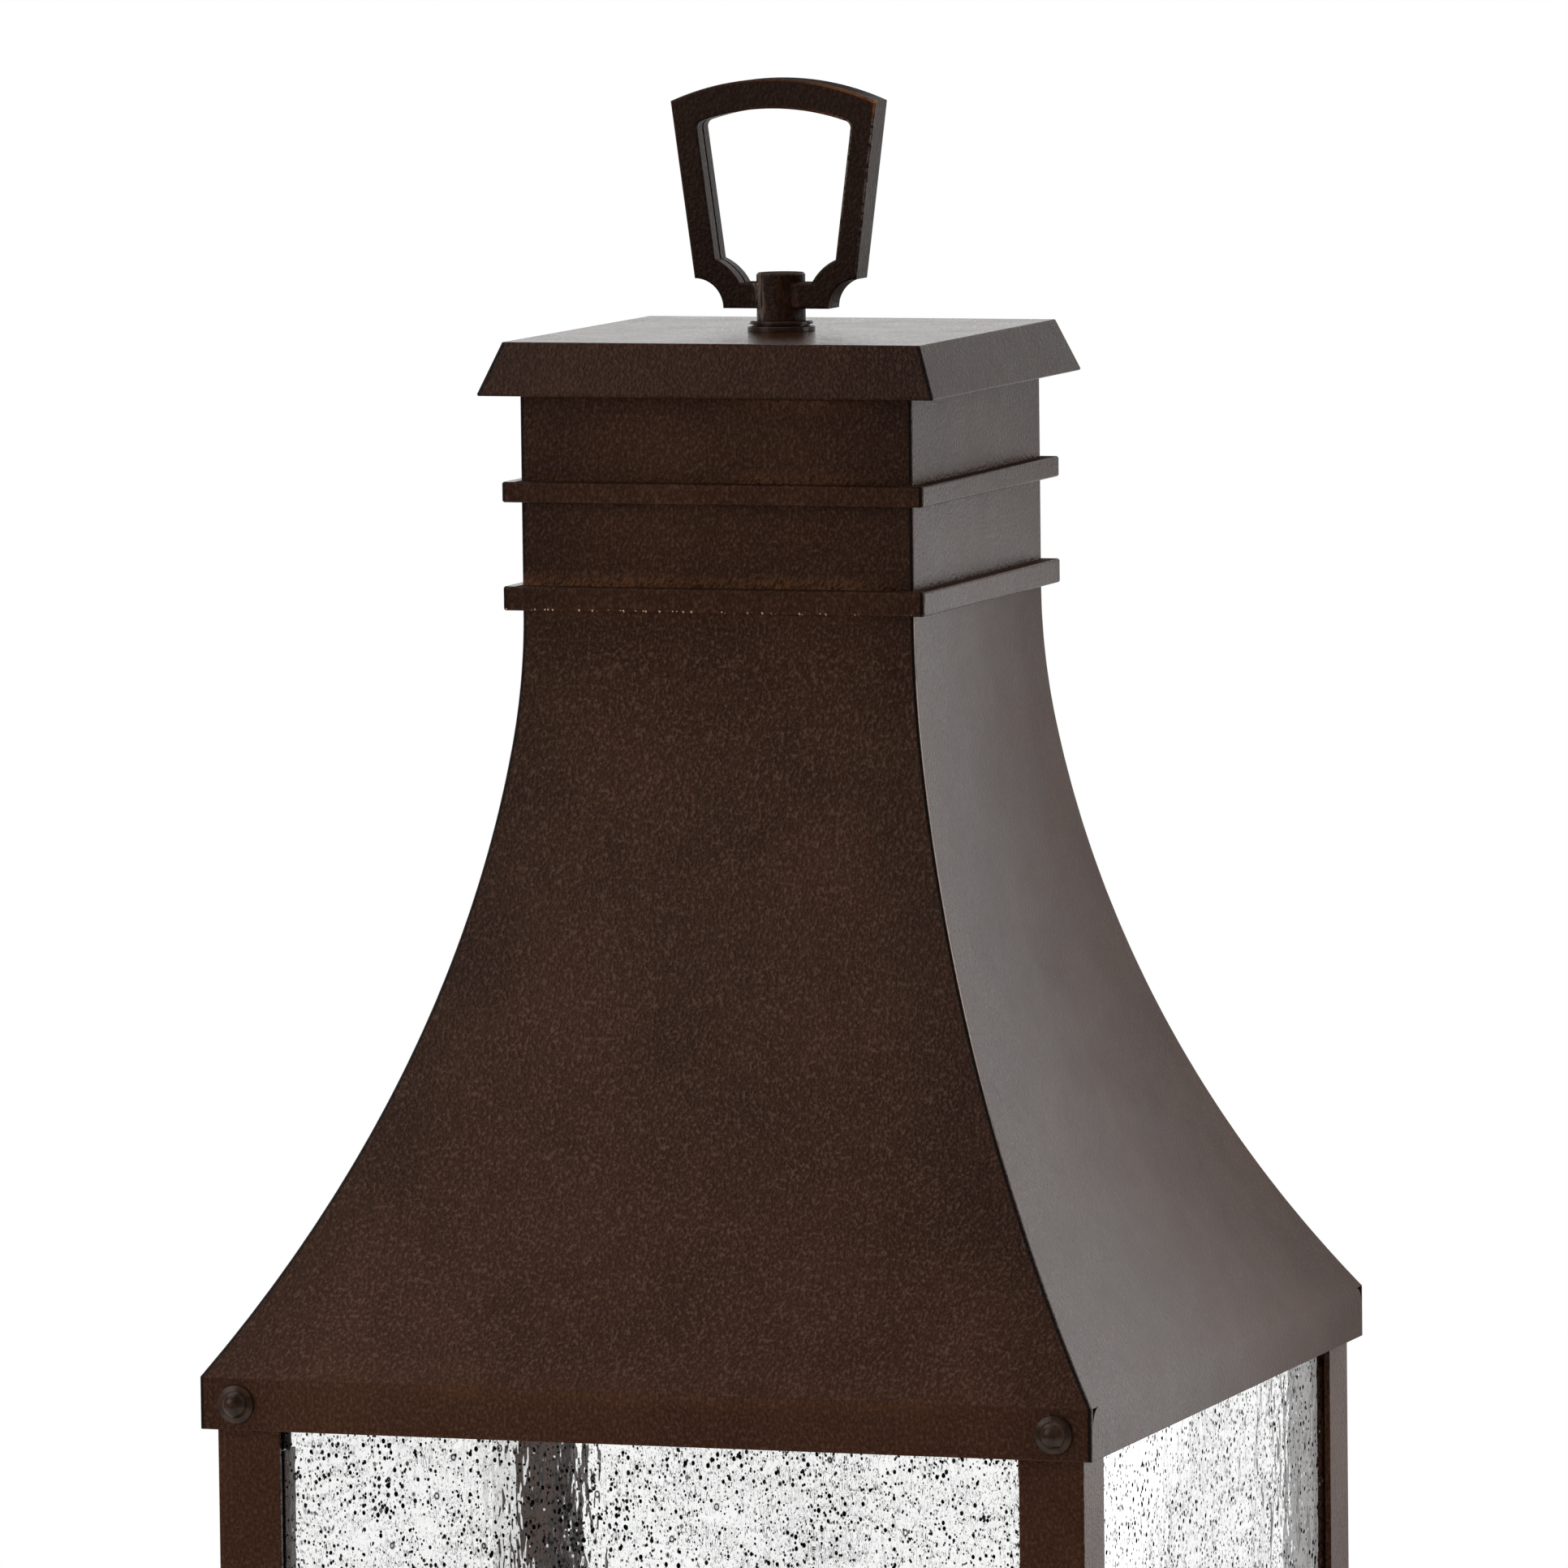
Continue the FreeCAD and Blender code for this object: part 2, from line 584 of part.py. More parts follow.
def handle_loop():
    """Loop and its round stem in one casting, bored from below for the rod."""
    stem_top = COLLAR_TOP + STEM_HEIGHT
    stem = turned((0, COLLAR_TOP), [
        [(STEM_RADIUS, COLLAR_TOP)],
        [(STEM_RADIUS, stem_top - STEM_EDGE)],
        [(STEM_RADIUS - STEM_EDGE, stem_top)],
        [(0, stem_top)],
    ])
    frame = loop_frame()
    frame.translate(FreeCAD.Vector(0, 0, COLLAR_TOP + LOOP_LIFT))
    bore = disc(ROD_RADIUS + THREAD_CLEARANCE, COLLAR_TOP - OVERRUN, ROD_TOP + SEAT_CLEARANCE)
    return frame.fuse(stem).removeSplitter().cut(bore)


def handle_collar():
    """Round disc in two tiers with a groove between them, under the stem."""
    groove_radius = COLLAR_TOP_RADIUS - COLLAR_GROOVE_DEPTH
    return turned((ROD_RADIUS, CAP_TOP), [
        [(COLLAR_RADIUS, CAP_TOP)],
        [(COLLAR_RADIUS, COLLAR_FOOT_TOP - COLLAR_EDGE)],
        [(COLLAR_RADIUS - COLLAR_EDGE, COLLAR_FOOT_TOP)],
        [(groove_radius, COLLAR_FOOT_TOP)],
        [(groove_radius, COLLAR_RIM_LOW)],
        [(COLLAR_TOP_RADIUS, COLLAR_RIM_LOW)],
        [(COLLAR_TOP_RADIUS, COLLAR_TOP - COLLAR_EDGE)],
        [(COLLAR_TOP_RADIUS - COLLAR_EDGE, COLLAR_TOP)],
        [(ROD_RADIUS, COLLAR_TOP)],
    ])


def crossbar_group():
    """Bar across the neck, the rod through it, and the washer and nut below it."""
    bar_top = NECK_TOP - CROSSBAR_DROP
    bar_low = bar_top - CROSSBAR_THICKNESS
    washer_low = bar_low - ROD_WASHER_THICKNESS
    nut_low = washer_low - ROD_NUT_HEIGHT
    reach = NECK_HALF - ROOF_WALL
    rod = disc(ROD_RADIUS, nut_low - ROD_TAIL, ROD_TOP)
    bar = block((-reach, -CROSSBAR_WIDTH / 2, bar_low), (reach, CROSSBAR_WIDTH / 2, bar_top))
    return {
        "handle_rod": rod,
        "roof_crossbar": bar.cut(rod),
        "rod_washer": disc(ROD_WASHER_RADIUS, washer_low, bar_low).cut(rod),
        "rod_nut": hexagon(ROD_NUT_FLAT_HALF, nut_low, washer_low).cut(rod),
    }


# Screws with round heads

def dome_step(radius, low, height):
    """Step from a rim up a spherical dome to its top on the axis."""
    sphere = (radius ** 2 + height ** 2) / (2 * height)
    half_angle = math.asin(radius / sphere) / 2
    return [on_circle((0, low + height - sphere), sphere, math.pi / 2 - half_angle), (0, low + height)]


def domed_screw(shank_radius, shank_length, head_rim, dome_height):
    """Screw along +Z whose head starts at level 0: a rim outline, then a dome up to the axis."""
    steps = [[(shank_radius, -shank_length)], [(shank_radius, 0)]] + [[point] for point in head_rim]
    return turned((0, -shank_length), steps + [dome_step(*head_rim[-1], dome_height)])


def knob_screw():
    """Knob screw in the +X +Y corner: flanged dome outside the skirt, shank to just past its nut."""
    rim = [
        (KNOB_FLANGE_RADIUS, 0),
        (KNOB_FLANGE_RADIUS, KNOB_FLANGE_RIM),
        (KNOB_DOME_RADIUS, KNOB_FLANGE_HEIGHT),
    ]
    screw = domed_screw(KNOB_SHANK_RADIUS, EAVE_HALF - KNOB_SHANK_END, rim, KNOB_DOME_HEIGHT)
    return facing_back(screw, KNOB_PLACE, EAVE_HALF, KNOB_HEIGHT)


def knob_nut():
    """Square nut in the +X +Y corner, flat against the inside of the post leg."""
    nut = block((KNOB_PLACE - KNOB_NUT_HALF, KNOB_NUT_BACK, KNOB_HEIGHT - KNOB_NUT_HALF),
                (KNOB_PLACE + KNOB_NUT_HALF, LEG_INNER_HALF, KNOB_HEIGHT + KNOB_NUT_HALF))
    bore = knob_drill(KNOB_SHANK_RADIUS + THREAD_CLEARANCE, KNOB_NUT_BACK - OVERRUN, LEG_INNER_HALF + OVERRUN)
    return nut.cut(bore)


def headed_screw(shank_radius, shank_length, head_radius, head_height):
    """Round head screw along +Z with its head on level 0."""
    return domed_screw(shank_radius, shank_length, [(head_radius, 0)], head_height)


# Cage of posts and frames

def knob_slot(low, high):
    """Open-topped slot for a knob screw's shank, between two distances from the lamp's axis."""
    radius = KNOB_SHANK_RADIUS + SEAT_CLEARANCE
    above = block((KNOB_PLACE - radius, low, KNOB_HEIGHT), (KNOB_PLACE + radius, high, FRAME_TOP + OVERRUN))
    return knob_drill(radius, low, high).fuse(above)


def corner_post():
    """Angle post in the +X +Y corner, slotted for the knob screw."""
    places = [
        (LEG_EDGE, POST_HALF),
        (POST_HALF, POST_HALF),
        (POST_HALF, LEG_EDGE),
        (LEG_INNER_HALF, LEG_EDGE),
        (LEG_INNER_HALF, LEG_INNER_HALF),
        (LEG_EDGE, LEG_INNER_HALF),
        (LEG_EDGE, POST_HALF),
    ]
    outline = Part.makePolygon([FreeCAD.Vector(x, y, SHELF_TOP) for x, y in places])
    post = Part.Face(outline).extrude(FreeCAD.Vector(0, 0, POST_LENGTH))
    outer = [edge for edge in post.Edges
             if edge.BoundBox.ZLength > POST_CORNER and edge.BoundBox.XMin + edge.BoundBox.YMin
             > 2 * POST_HALF - POST_CORNER]
    post = post.makeFillet(POST_CORNER, outer)
    return post.cut(knob_slot(LEG_INNER_HALF - LOOSE_CLEARANCE, POST_HALF + LOOSE_CLEARANCE))


def top_frame():
    """Angle ring over the post tops, notched where the knob screws and their nuts lift out."""
    outer = POST_HALF + TOP_FRAME_WALL
    flange = square_tube(outer, POST_HALF, FRAME_TOP - TOP_FRAME_DEPTH, POST_TOP)
    shelf = square_tube(outer, POST_HALF - TOP_FRAME_SHELF, POST_TOP, FRAME_TOP)
    side = KNOB_NUT_HALF + LOOSE_CLEARANCE
    notch = block((KNOB_PLACE - side, KNOB_SHANK_END - LOOSE_CLEARANCE, POST_TOP),
                  (KNOB_PLACE + side, LEG_INNER_HALF + LOOSE_CLEARANCE, FRAME_TOP + OVERRUN))
    slot = knob_slot(LEG_INNER_HALF, outer + OVERRUN)
    return cut_all(flange.fuse(shelf).removeSplitter(), all_corners(notch.fuse(slot)))


def floor_screw_drill():
    """Round prism for the screw through the floor, the frame and the pan, on the back side."""
    return disc(FLOOR_SCREW_RADIUS, BODY_LOW - OVERRUN, FLOOR_TOP + OVERRUN, 0, FLOOR_SCREW_PLACE)


def bottom_frame():
    """Angle ring that the posts and the panes stand in."""
    outer = POST_HALF + BOTTOM_FRAME_WALL
    ring = rounded_prism(outer, BOTTOM_FRAME_WALL / 2, BODY_LOW, BODY_LOW + BOTTOM_FRAME_HEIGHT)
    ring = ring.cut(square_prism(POST_HALF, SHELF_TOP, BODY_LOW + BOTTOM_FRAME_HEIGHT + OVERRUN))
    ring = ring.cut(square_prism(BOTTOM_SHELF_HALF, BODY_LOW - OVERRUN, SHELF_TOP + OVERRUN))
    return cut_all(ring, quarter_turns(floor_screw_drill()))


def glass_pane():
    """Front pane, with its arrises ground off."""
    pane = block((-GLASS_HALF, -GLASS_FACE, SHELF_TOP), (GLASS_HALF, -GLASS_BACK, POST_TOP - GLASS_HEADROOM))
    return pane.makeChamfer(GLASS_ARRIS, pane.Edges)


def corner_clip(low):
    """Bent strip in the +X +Y corner: hugs the post inside and reaches behind both panes."""
    high = low + CLIP_HEIGHT
    face = GLASS_BACK - SEAT_CLEARANCE
    back = face - CLIP_THICKNESS
    step = GLASS_HALF + SEAT_CLEARANCE
    tongue = block((GLASS_HALF - CLIP_TONGUE, back, low), (step + CLIP_THICKNESS, face, high))
    riser = block((step, back, low), (step + CLIP_THICKNESS, LEG_INNER_HALF, high))
    foot = block((step, LEG_INNER_HALF - CLIP_THICKNESS, low), (LEG_INNER_HALF, LEG_INNER_HALF, high))
    wing = tongue.fuse([riser, foot])
    return wing.fuse(wing.mirror(ORIGIN, DIAGONAL)).removeSplitter()


# Floor, pan and pedestal

def floor_plate():
    """Plate on the bottom frame, notched round the posts."""
    plate = square_prism(FLOOR_HALF, SHELF_TOP, FLOOR_TOP)
    edge = LEG_EDGE - FLOOR_NOTCH_MARGIN
    notch = block((edge, edge, SHELF_TOP - OVERRUN), (POST_HALF, POST_HALF, FLOOR_TOP + OVERRUN))
    plate = cut_all(plate, all_corners(notch) + quarter_turns(floor_screw_drill()))
    return plate.cut(disc(PIPE_RADIUS, SHELF_TOP - OVERRUN, FLOOR_TOP + OVERRUN))


def floor_screw():
    """Screw down through the floor, on the back side."""
    length = FLOOR_TOP - (BODY_LOW - PAN_WALL - FLOOR_NUT_HEIGHT - FLOOR_SCREW_TAIL)
    screw = headed_screw(FLOOR_SCREW_RADIUS, length, FLOOR_SCREW_HEAD_RADIUS, FLOOR_SCREW_HEAD_HEIGHT)
    screw.translate(FreeCAD.Vector(0, FLOOR_SCREW_PLACE, FLOOR_TOP))
    return screw


def floor_nut():
    """Nut of a floor screw, under the pan's lip, on the back side."""
    nut_top = BODY_LOW - PAN_WALL
    nut = hexagon(FLOOR_NUT_FLAT_HALF, nut_top - FLOOR_NUT_HEIGHT, nut_top)
    nut.translate(FreeCAD.Vector(0, FLOOR_SCREW_PLACE, 0))
    return nut.cut(floor_screw())


def body_pan():
    """Hollow tray under the lantern: upright rim, inward lip, shallow taper and a web on the column."""
    rim_low = BODY_LOW - PAN_RIM_HEIGHT
    slope = (PAN_TOP_HALF - PAN_FOOT_HALF) / (rim_low - PAN_LOW)
    side = PAN_WALL * math.hypot(1, slope)
    web_top = PAN_LOW + PAN_WEB
    knee = rim_low + (side - PAN_WALL) / slope
    outer = square_prism(PAN_TOP_HALF, rim_low, BODY_LOW)
    outer = outer.fuse(frustum(PAN_FOOT_HALF, PAN_TOP_HALF, PAN_LOW, rim_low)).removeSplitter()
    web_half = PAN_FOOT_HALF - side + slope * PAN_WEB
    inner = frustum(web_half, PAN_TOP_HALF - PAN_WALL, web_top, knee)
    inner = inner.fuse(square_prism(PAN_TOP_HALF - PAN_WALL, knee, BODY_LOW - PAN_WALL))
    inner = inner.fuse(square_prism(PAN_TOP_HALF - PAN_LIP, knee, BODY_LOW + OVERRUN))
    pan = hips_rounded(outer, PAN_HIP_ROUND).cut(inner)
    pan = pan.cut(disc(PIPE_RADIUS, PAN_LOW - OVERRUN, web_top + OVERRUN))
    return cut_all(pan, quarter_turns(floor_screw_drill()))


def base_cover():
    """Flared cover over the pier plate, closed above by a web, with holes for the base screws."""
    levels = (0, BASE_SKIRT_HEIGHT, COLUMN_LOW, COLUMN_LOW)
    web_low = COLUMN_LOW - BASE_WEB
    shell = flared_shell(COLUMN_HALF, BASE_HALF, BASE_WALL, BASE_HIP_ROUND, levels,
                         BASE_FIRST_RADIUS_SHARE, BASE_FIRST_TURN, web_low)
    shell = shell.cut(disc(PIPE_RADIUS, web_low - OVERRUN, COLUMN_LOW + OVERRUN))
    return cut_all(shell, quarter_turns(base_screw_drill()))


def base_screw_drill():
    """Round prism for a base screw, on the back side."""
    length = BASE_HALF - EAR_BACK + 2 * OVERRUN
    return facing_back(disc(BASE_SCREW_RADIUS, 0, length), 0, EAR_BACK - OVERRUN, BASE_SCREW_LEVEL)


def base_screw():
    """Screw through the cover's skirt into an ear of the pier plate, on the back side."""
    length = BASE_HALF - EAR_BACK + BASE_SCREW_TAIL
    screw = headed_screw(BASE_SCREW_RADIUS, length, BASE_SCREW_HEAD_RADIUS, BASE_SCREW_HEAD_HEIGHT)
    return facing_back(screw, 0, BASE_HALF, BASE_SCREW_LEVEL)


def ground_screw():
    """Earthing screw in the pier plate."""
    screw = headed_screw(GROUND_SCREW_RADIUS, PLATE_THICKNESS,
                         GROUND_SCREW_HEAD_RADIUS, GROUND_SCREW_HEAD_HEIGHT)
    screw.translate(FreeCAD.Vector(0, GROUND_SCREW_PLACE, PLATE_THICKNESS))
    return screw


def pier_plate():
    """Steel plate with anchor holes, a wire hole and four upturned ears."""
    plate = rounded_prism(PLATE_HALF, PLATE_CORNER, 0, PLATE_THICKNESS)
    ear = block((-EAR_WIDTH / 2, EAR_BACK, 0), (EAR_WIDTH / 2, PLATE_HALF, EAR_TOP))
    plate = plate.fuse(quarter_turns(ear)).removeSplitter()
    place = ANCHOR_SPACING / 2
    anchor = disc(ANCHOR_RADIUS, -OVERRUN, PLATE_THICKNESS + OVERRUN, place, place)
    wire = disc(PLATE_WIRE_RADIUS, -OVERRUN, PLATE_THICKNESS + OVERRUN)
    ground = disc(GROUND_SCREW_RADIUS, -OVERRUN, PLATE_THICKNESS + OVERRUN, 0, GROUND_SCREW_PLACE)
    return cut_all(plate, all_corners(anchor) + quarter_turns(base_screw_drill()) + [wire, ground])


def pipe_group():
    """Threaded pipe that clamps cover, column, pan, floor and hub, with its nuts and washers."""
    web_low = COLUMN_LOW - BASE_WEB
    web_top = PAN_LOW + PAN_WEB
    low_washer = web_low - PIPE_WASHER_THICKNESS
    low_nut = low_washer - PIPE_NUT_HEIGHT
    pan_washer = web_top + PIPE_WASHER_THICKNESS
    top_nut = HUB_TOP + PIPE_NUT_HEIGHT
    core = disc(PIPE_RADIUS, low_nut - PIPE_TAIL, top_nut + PIPE_TAIL)
    bore = disc(PIPE_RADIUS - PIPE_WALL, low_nut - PIPE_TAIL - OVERRUN, top_nut + PIPE_TAIL + OVERRUN)
    nut_levels = [low_nut, pan_washer, HUB_TOP]
    washer_levels = [low_washer, web_top]
    nuts = [hexagon(PIPE_NUT_FLAT_HALF, level, level + PIPE_NUT_HEIGHT).cut(core) for level in nut_levels]
    washers = [disc(PIPE_WASHER_RADIUS, level, level + PIPE_WASHER_THICKNESS).cut(core)
               for level in washer_levels]
    return {"centre_pipe": core.cut(bore), "pipe_nuts": nuts, "pipe_washers": washers}


# Candle cluster

def cluster_hub():
    """Shallow round hub on the floor plate, open below."""
    inner = HUB_RADIUS - HUB_WALL
    roof = HUB_TOP - HUB_WALL
    return turned((inner, FLOOR_TOP), [
        [(HUB_RADIUS, FLOOR_TOP)],
        [(HUB_RADIUS, HUB_TOP - HUB_EDGE)],
        [(HUB_RADIUS - HUB_EDGE, HUB_TOP)],
        [(PIPE_RADIUS, HUB_TOP)],
        [(PIPE_RADIUS, roof)],
        [(inner, roof)],
    ])


def candle_cup():
    """Small dish that the sleeve and the socket stand in."""
    rim = HUB_TOP + CUP_HEIGHT
    return turned((0, HUB_TOP), [
        [(CUP_FOOT_RADIUS, HUB_TOP)],
        [(CUP_RIM_RADIUS, rim)],
        [(CUP_RIM_RADIUS - CUP_WALL, rim)],
        [(CUP_FOOT_RADIUS - CUP_WALL / 2, CUP_TOP)],
        [(0, CUP_TOP)],
    ])


def candle_sleeve():
    """Tube that looks like a candle and hides the socket."""
    bore = disc(SLEEVE_RADIUS - SLEEVE_WALL, CUP_TOP - OVERRUN, SLEEVE_TOP + OVERRUN)
    return disc(SLEEVE_RADIUS, CUP_TOP, SLEEVE_TOP).cut(bore)


def lamp_socket():
    """Candelabra socket, open above."""
    bore = disc(BULB_BASE_RADIUS + THREAD_CLEARANCE, SOCKET_FLOOR, SOCKET_TOP + OVERRUN)
    return disc(SOCKET_RADIUS, CUP_TOP, SOCKET_TOP).cut(bore)


def bulb_base():
    """Bulb's metal cap: contact button, threaded shell as a plain cylinder, and a seat for the glass."""
    shell_low = BULB_LOW + BULB_CONTACT_HEIGHT
    seat = BULB_BASE_TOP - BULB_NECK_DEPTH
    return turned((0, BULB_LOW), [
        [(BULB_CONTACT_RADIUS, BULB_LOW)],
        [(BULB_BASE_RADIUS, shell_low)],
        [(BULB_BASE_RADIUS, BULB_BASE_TOP)],
        [(BULB_NECK_RADIUS, BULB_BASE_TOP)],
        [(BULB_NECK_RADIUS, seat)],
        [(0, seat)],
    ])


def bulb_body(wall):
    """Solid of the bulb's glass, or of the space inside it at a wall's depth: neck, waist, belly and tip."""
    low = BULB_BASE_TOP - BULB_NECK_DEPTH
    neck = BULB_NECK_RADIUS - wall
    waist = (BULB_NECK_RADIUS + BULB_WAIST_ARC, low + BULB_LENGTH * BULB_WAIST_SHARE)
    belly = (BULB_RADIUS - BULB_BELLY_ARC, low + BULB_LENGTH * BULB_BELLY_SHARE)
    tip = (0, low + BULB_LENGTH - BULB_TIP_ARC)
    waist_arc = BULB_WAIST_ARC + wall
    belly_arc = BULB_BELLY_ARC - wall
    tip_arc = BULB_TIP_ARC - wall
    under = tangent_angle(belly, waist, BULB_BELLY_ARC + BULB_WAIST_ARC, 1)
    over = tangent_angle(belly, tip, BULB_BELLY_ARC - BULB_TIP_ARC, -1)
    start = low if wall == 0 else low - OVERRUN
    return turned((0, start), [
        [(neck, start)],
        [(neck, waist[1])],
        [on_circle(waist, waist_arc, math.pi + under / 2), on_circle(waist, waist_arc, math.pi + under)],
        [on_circle(belly, belly_arc, under)],
        [on_circle(belly, belly_arc, (under + over) / 2), on_circle(belly, belly_arc, over)],
        [on_circle(tip, tip_arc, over)],
        [on_circle(tip, tip_arc, (over + math.pi / 2) / 2), (0, tip[1] + tip_arc)],
    ])


def bulb_glass():
    """Hollow torpedo-shaped glass."""
    return bulb_body(0).cut(bulb_body(BULB_WALL))


def at_candle(shape, number):
    """Copy of a shape modelled on the lamp's axis, moved to a candle's place."""
    angle = math.pi / 2 + 2 * math.pi * number / CANDLE_COUNT
    copy = shape.copy()
    copy.translate(FreeCAD.Vector(CANDLE_CIRCLE * math.cos(angle), CANDLE_CIRCLE * math.sin(angle), 0))
    return copy


# Assembly

def roof_nodes():
    """Everything that lifts off with the roof."""
    nodes = {
        "roof_shell": roof_shell(),
        "roof_neck": roof_neck(),
        "neck_band_lower": band(NECK_HALF, FLARE_TOP, LOWER_BAND_HEIGHT),
        "neck_band_upper": band(NECK_HALF, FLARE_TOP + LOWER_BAND_HEIGHT + BAND_SPACING, UPPER_BAND_HEIGHT),
        "roof_cap": roof_cap(),
        "roof_gussets": roof_gussets(),
        "handle_loop": handle_loop(),
        "handle_collar": handle_collar(),
        "knob_nuts": all_corners(knob_nut()),
    }
    nodes.update(crossbar_group())
    screw = knob_screw()
    for corner, sides in CORNERS.items():
        nodes["knob_screw_" + corner] = to_corner(screw, *sides)
    return nodes


def cage_nodes():
    """Posts, frames, panes and clips."""
    upper_clip_low = KNOB_HEIGHT - KNOB_NUT_HALF - CLIP_TOP_DROP - CLIP_HEIGHT
    nodes = {
        "top_frame": top_frame(),
        "bottom_frame": bottom_frame(),
        "glass_clips_upper": all_corners(corner_clip(upper_clip_low)),
        "glass_clips_lower": all_corners(corner_clip(SHELF_TOP + CLIP_FOOT_LIFT)),
    }
    post = corner_post()
    for corner, sides in CORNERS.items():
        nodes["corner_post_" + corner] = to_corner(post, *sides)
    pane = glass_pane()
    for side, angle in SIDES.items():
        nodes["glass_pane_" + side] = rotated(pane, angle)
    return nodes


def foot_nodes():
    """Floor, pan, pedestal and pier plate."""
    column_middle = (COLUMN_LOW + PAN_LOW) / 2
    nodes = {
        "floor_plate": floor_plate(),
        "floor_screws": quarter_turns(floor_screw()),
        "floor_nuts": quarter_turns(floor_nut()),
        "body_pan": body_pan(),
        "pedestal_column": rounded_tube(COLUMN_HALF, COLUMN_HALF - COLUMN_WALL, BASE_HIP_ROUND,
                                        COLUMN_LOW, PAN_LOW),
        "pedestal_band": band(COLUMN_HALF, column_middle - PEDESTAL_BAND_HEIGHT / 2, PEDESTAL_BAND_HEIGHT),
        "base_cover": base_cover(),
        "base_screws": quarter_turns(base_screw()),
        "ground_screw": ground_screw(),
        "pier_plate": pier_plate(),
    }
    nodes.update(pipe_group())
    return nodes


def candle_nodes():
    """Hub with its candles and bulbs."""
    cups = [at_candle(candle_cup(), number) for number in range(CANDLE_COUNT)]
    nodes = {"cluster_hub": cluster_hub(), "candle_cups": cups}
    repeated = {
        "candle_sleeve": candle_sleeve(),
        "lamp_socket": lamp_socket(),
        "bulb_base": bulb_base(),
        "bulb_glass": bulb_glass(),
    }
    for name, shape in repeated.items():
        for number in range(CANDLE_COUNT):
            nodes[name + "_" + str(number + 1)] = at_candle(shape, number)
    return nodes


def main():
    """Write one STEP file for each node."""
    os.makedirs("parts", exist_ok=True)
    for group in (roof_nodes(), cage_nodes(), foot_nodes(), candle_nodes()):
        for name, shape in group.items():
            if isinstance(shape, list):
                shape = Part.makeCompound(shape)
            shape.exportStep("parts/" + name + ".step")


main()
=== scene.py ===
import json
import math

import bmesh
import bpy
from mathutils import Matrix, Quaternion, Vector


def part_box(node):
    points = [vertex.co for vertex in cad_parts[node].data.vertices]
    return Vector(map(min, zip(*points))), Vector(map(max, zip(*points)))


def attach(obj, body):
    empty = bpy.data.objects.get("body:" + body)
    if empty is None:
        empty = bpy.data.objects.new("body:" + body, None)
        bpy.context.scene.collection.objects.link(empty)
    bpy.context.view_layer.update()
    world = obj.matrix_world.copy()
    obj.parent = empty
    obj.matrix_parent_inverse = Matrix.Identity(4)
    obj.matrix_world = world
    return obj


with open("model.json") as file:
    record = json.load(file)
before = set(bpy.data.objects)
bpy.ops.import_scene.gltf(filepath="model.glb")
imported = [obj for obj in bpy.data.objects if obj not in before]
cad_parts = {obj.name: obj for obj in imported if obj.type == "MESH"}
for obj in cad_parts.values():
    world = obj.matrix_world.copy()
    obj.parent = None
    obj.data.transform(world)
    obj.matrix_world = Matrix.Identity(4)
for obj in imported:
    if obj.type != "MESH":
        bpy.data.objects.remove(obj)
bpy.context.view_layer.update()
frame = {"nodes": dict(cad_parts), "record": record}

# Camera, in metres

CAMERA_PLACE = (1.1653, -3.3773, 0.8117)
CAMERA_RIGHT = (0.945537, 0.325271, -0.012162)
CAMERA_UP = (-0.01939, 0.09359, 0.995425)
CAMERA_BACK = (0.32492, -0.94098, 0.09480)
CAMERA_LENS = 298.1
CAMERA_SENSOR = 36.0
CAMERA_REACH = 200.0

# Studio

FLOOR_REACH = 60.0
FLOOR_DROP = 0.0002
FLOOR_COLOUR = (0.82, 0.82, 0.81, 1)
FLOOR_LIFT = 0.2
FLOOR_NEAR = 0.6
FLOOR_FAR = 1.4
WORLD_LIGHT = 0.4
FRONT_GLOSS = 0.2
GLOSS_TURN = (-0.5, 0.6)
WHITE = (1, 1, 1, 1)
AIM = (0.0, 0.0, 0.36)

# Each light's place, aim, roll in degrees, width, height and power
SOFT_LIGHTS = {
    "soft_front": ((-1.3, -1.5, 1.2), AIM, 0.0, 1.2, 1.2, 11.0),
    "soft_side": ((2.6, 1.1, 1.2), AIM, 0.0, 1.2, 1.8, 20.0),
    "soft_top": ((0.0, 0.2, 2.9), AIM, 0.0, 1.6, 1.6, 34.0),
    "front_panel": ((-0.46, -0.62, 0.21), (-0.46, 0.0, 0.21), 0.0, 0.66, 0.42, 1.3),
    "top_panel": ((-0.44, -0.17, 0.9), (-0.44, -0.17, 0.0), 0.0, 0.6, 0.56, 1.1),
    "side_panel": ((0.388, 0.16, 0.437), (0.388, 0.0, 0.437), -18.0, 0.5, 0.34, 0.8),
}
MATT_LIGHTS = ("soft_top", "front_panel")

# Bronze paint

BRONZE_DARK = (0.0265, 0.0080, 0.0026, 1)
BRONZE_LIGHT = (0.041, 0.0145, 0.0056, 1)
BRONZE_SPECK_GLINT = (0.125, 0.078, 0.058, 1)
BRONZE_COPPER = (0.19, 0.072, 0.028, 1)
BRONZE_ORANGE = (0.55, 0.17, 0.045, 1)
BRONZE_RUST = (0.13, 0.048, 0.026, 1)
BRONZE_BARE_AND_HIGHLIGHT = (0.42, 0.34, 0.29, 1)
BRONZE_PAINTED_HIGHLIGHT = (0.62, 0.50, 0.43, 1)
BRONZE_BEAD_GLINT = (0.62, 0.43, 0.29, 1)
# Painted shade: near black, for the crannies, the hip lines and the loop's crown
BRONZE_PAINTED_SHADE = (0.004, 0.0025, 0.002, 1)
BRONZE_SPECULAR = 0.105
BRONZE_ROUGH = 0.3
TOP_ROUGH = 0.13
DULL_ROUGH = 0.9
POLISHED = (TOP_ROUGH, TOP_ROUGH)

# Noises: scale, detail and roughness
CLOUD_NOISE = (16.0, 4.0, 0.6)
STAIN_NOISE = (60.0, 5.0, 0.65)
PEEL_NOISE = (1150.0, 2.0, 0.55)
PEEL_STRETCH = (1.0, 1.0, 0.75)
GRAIN_NOISE = (1700.0, 2.0, 0.7)
MIDDLE = 0.5

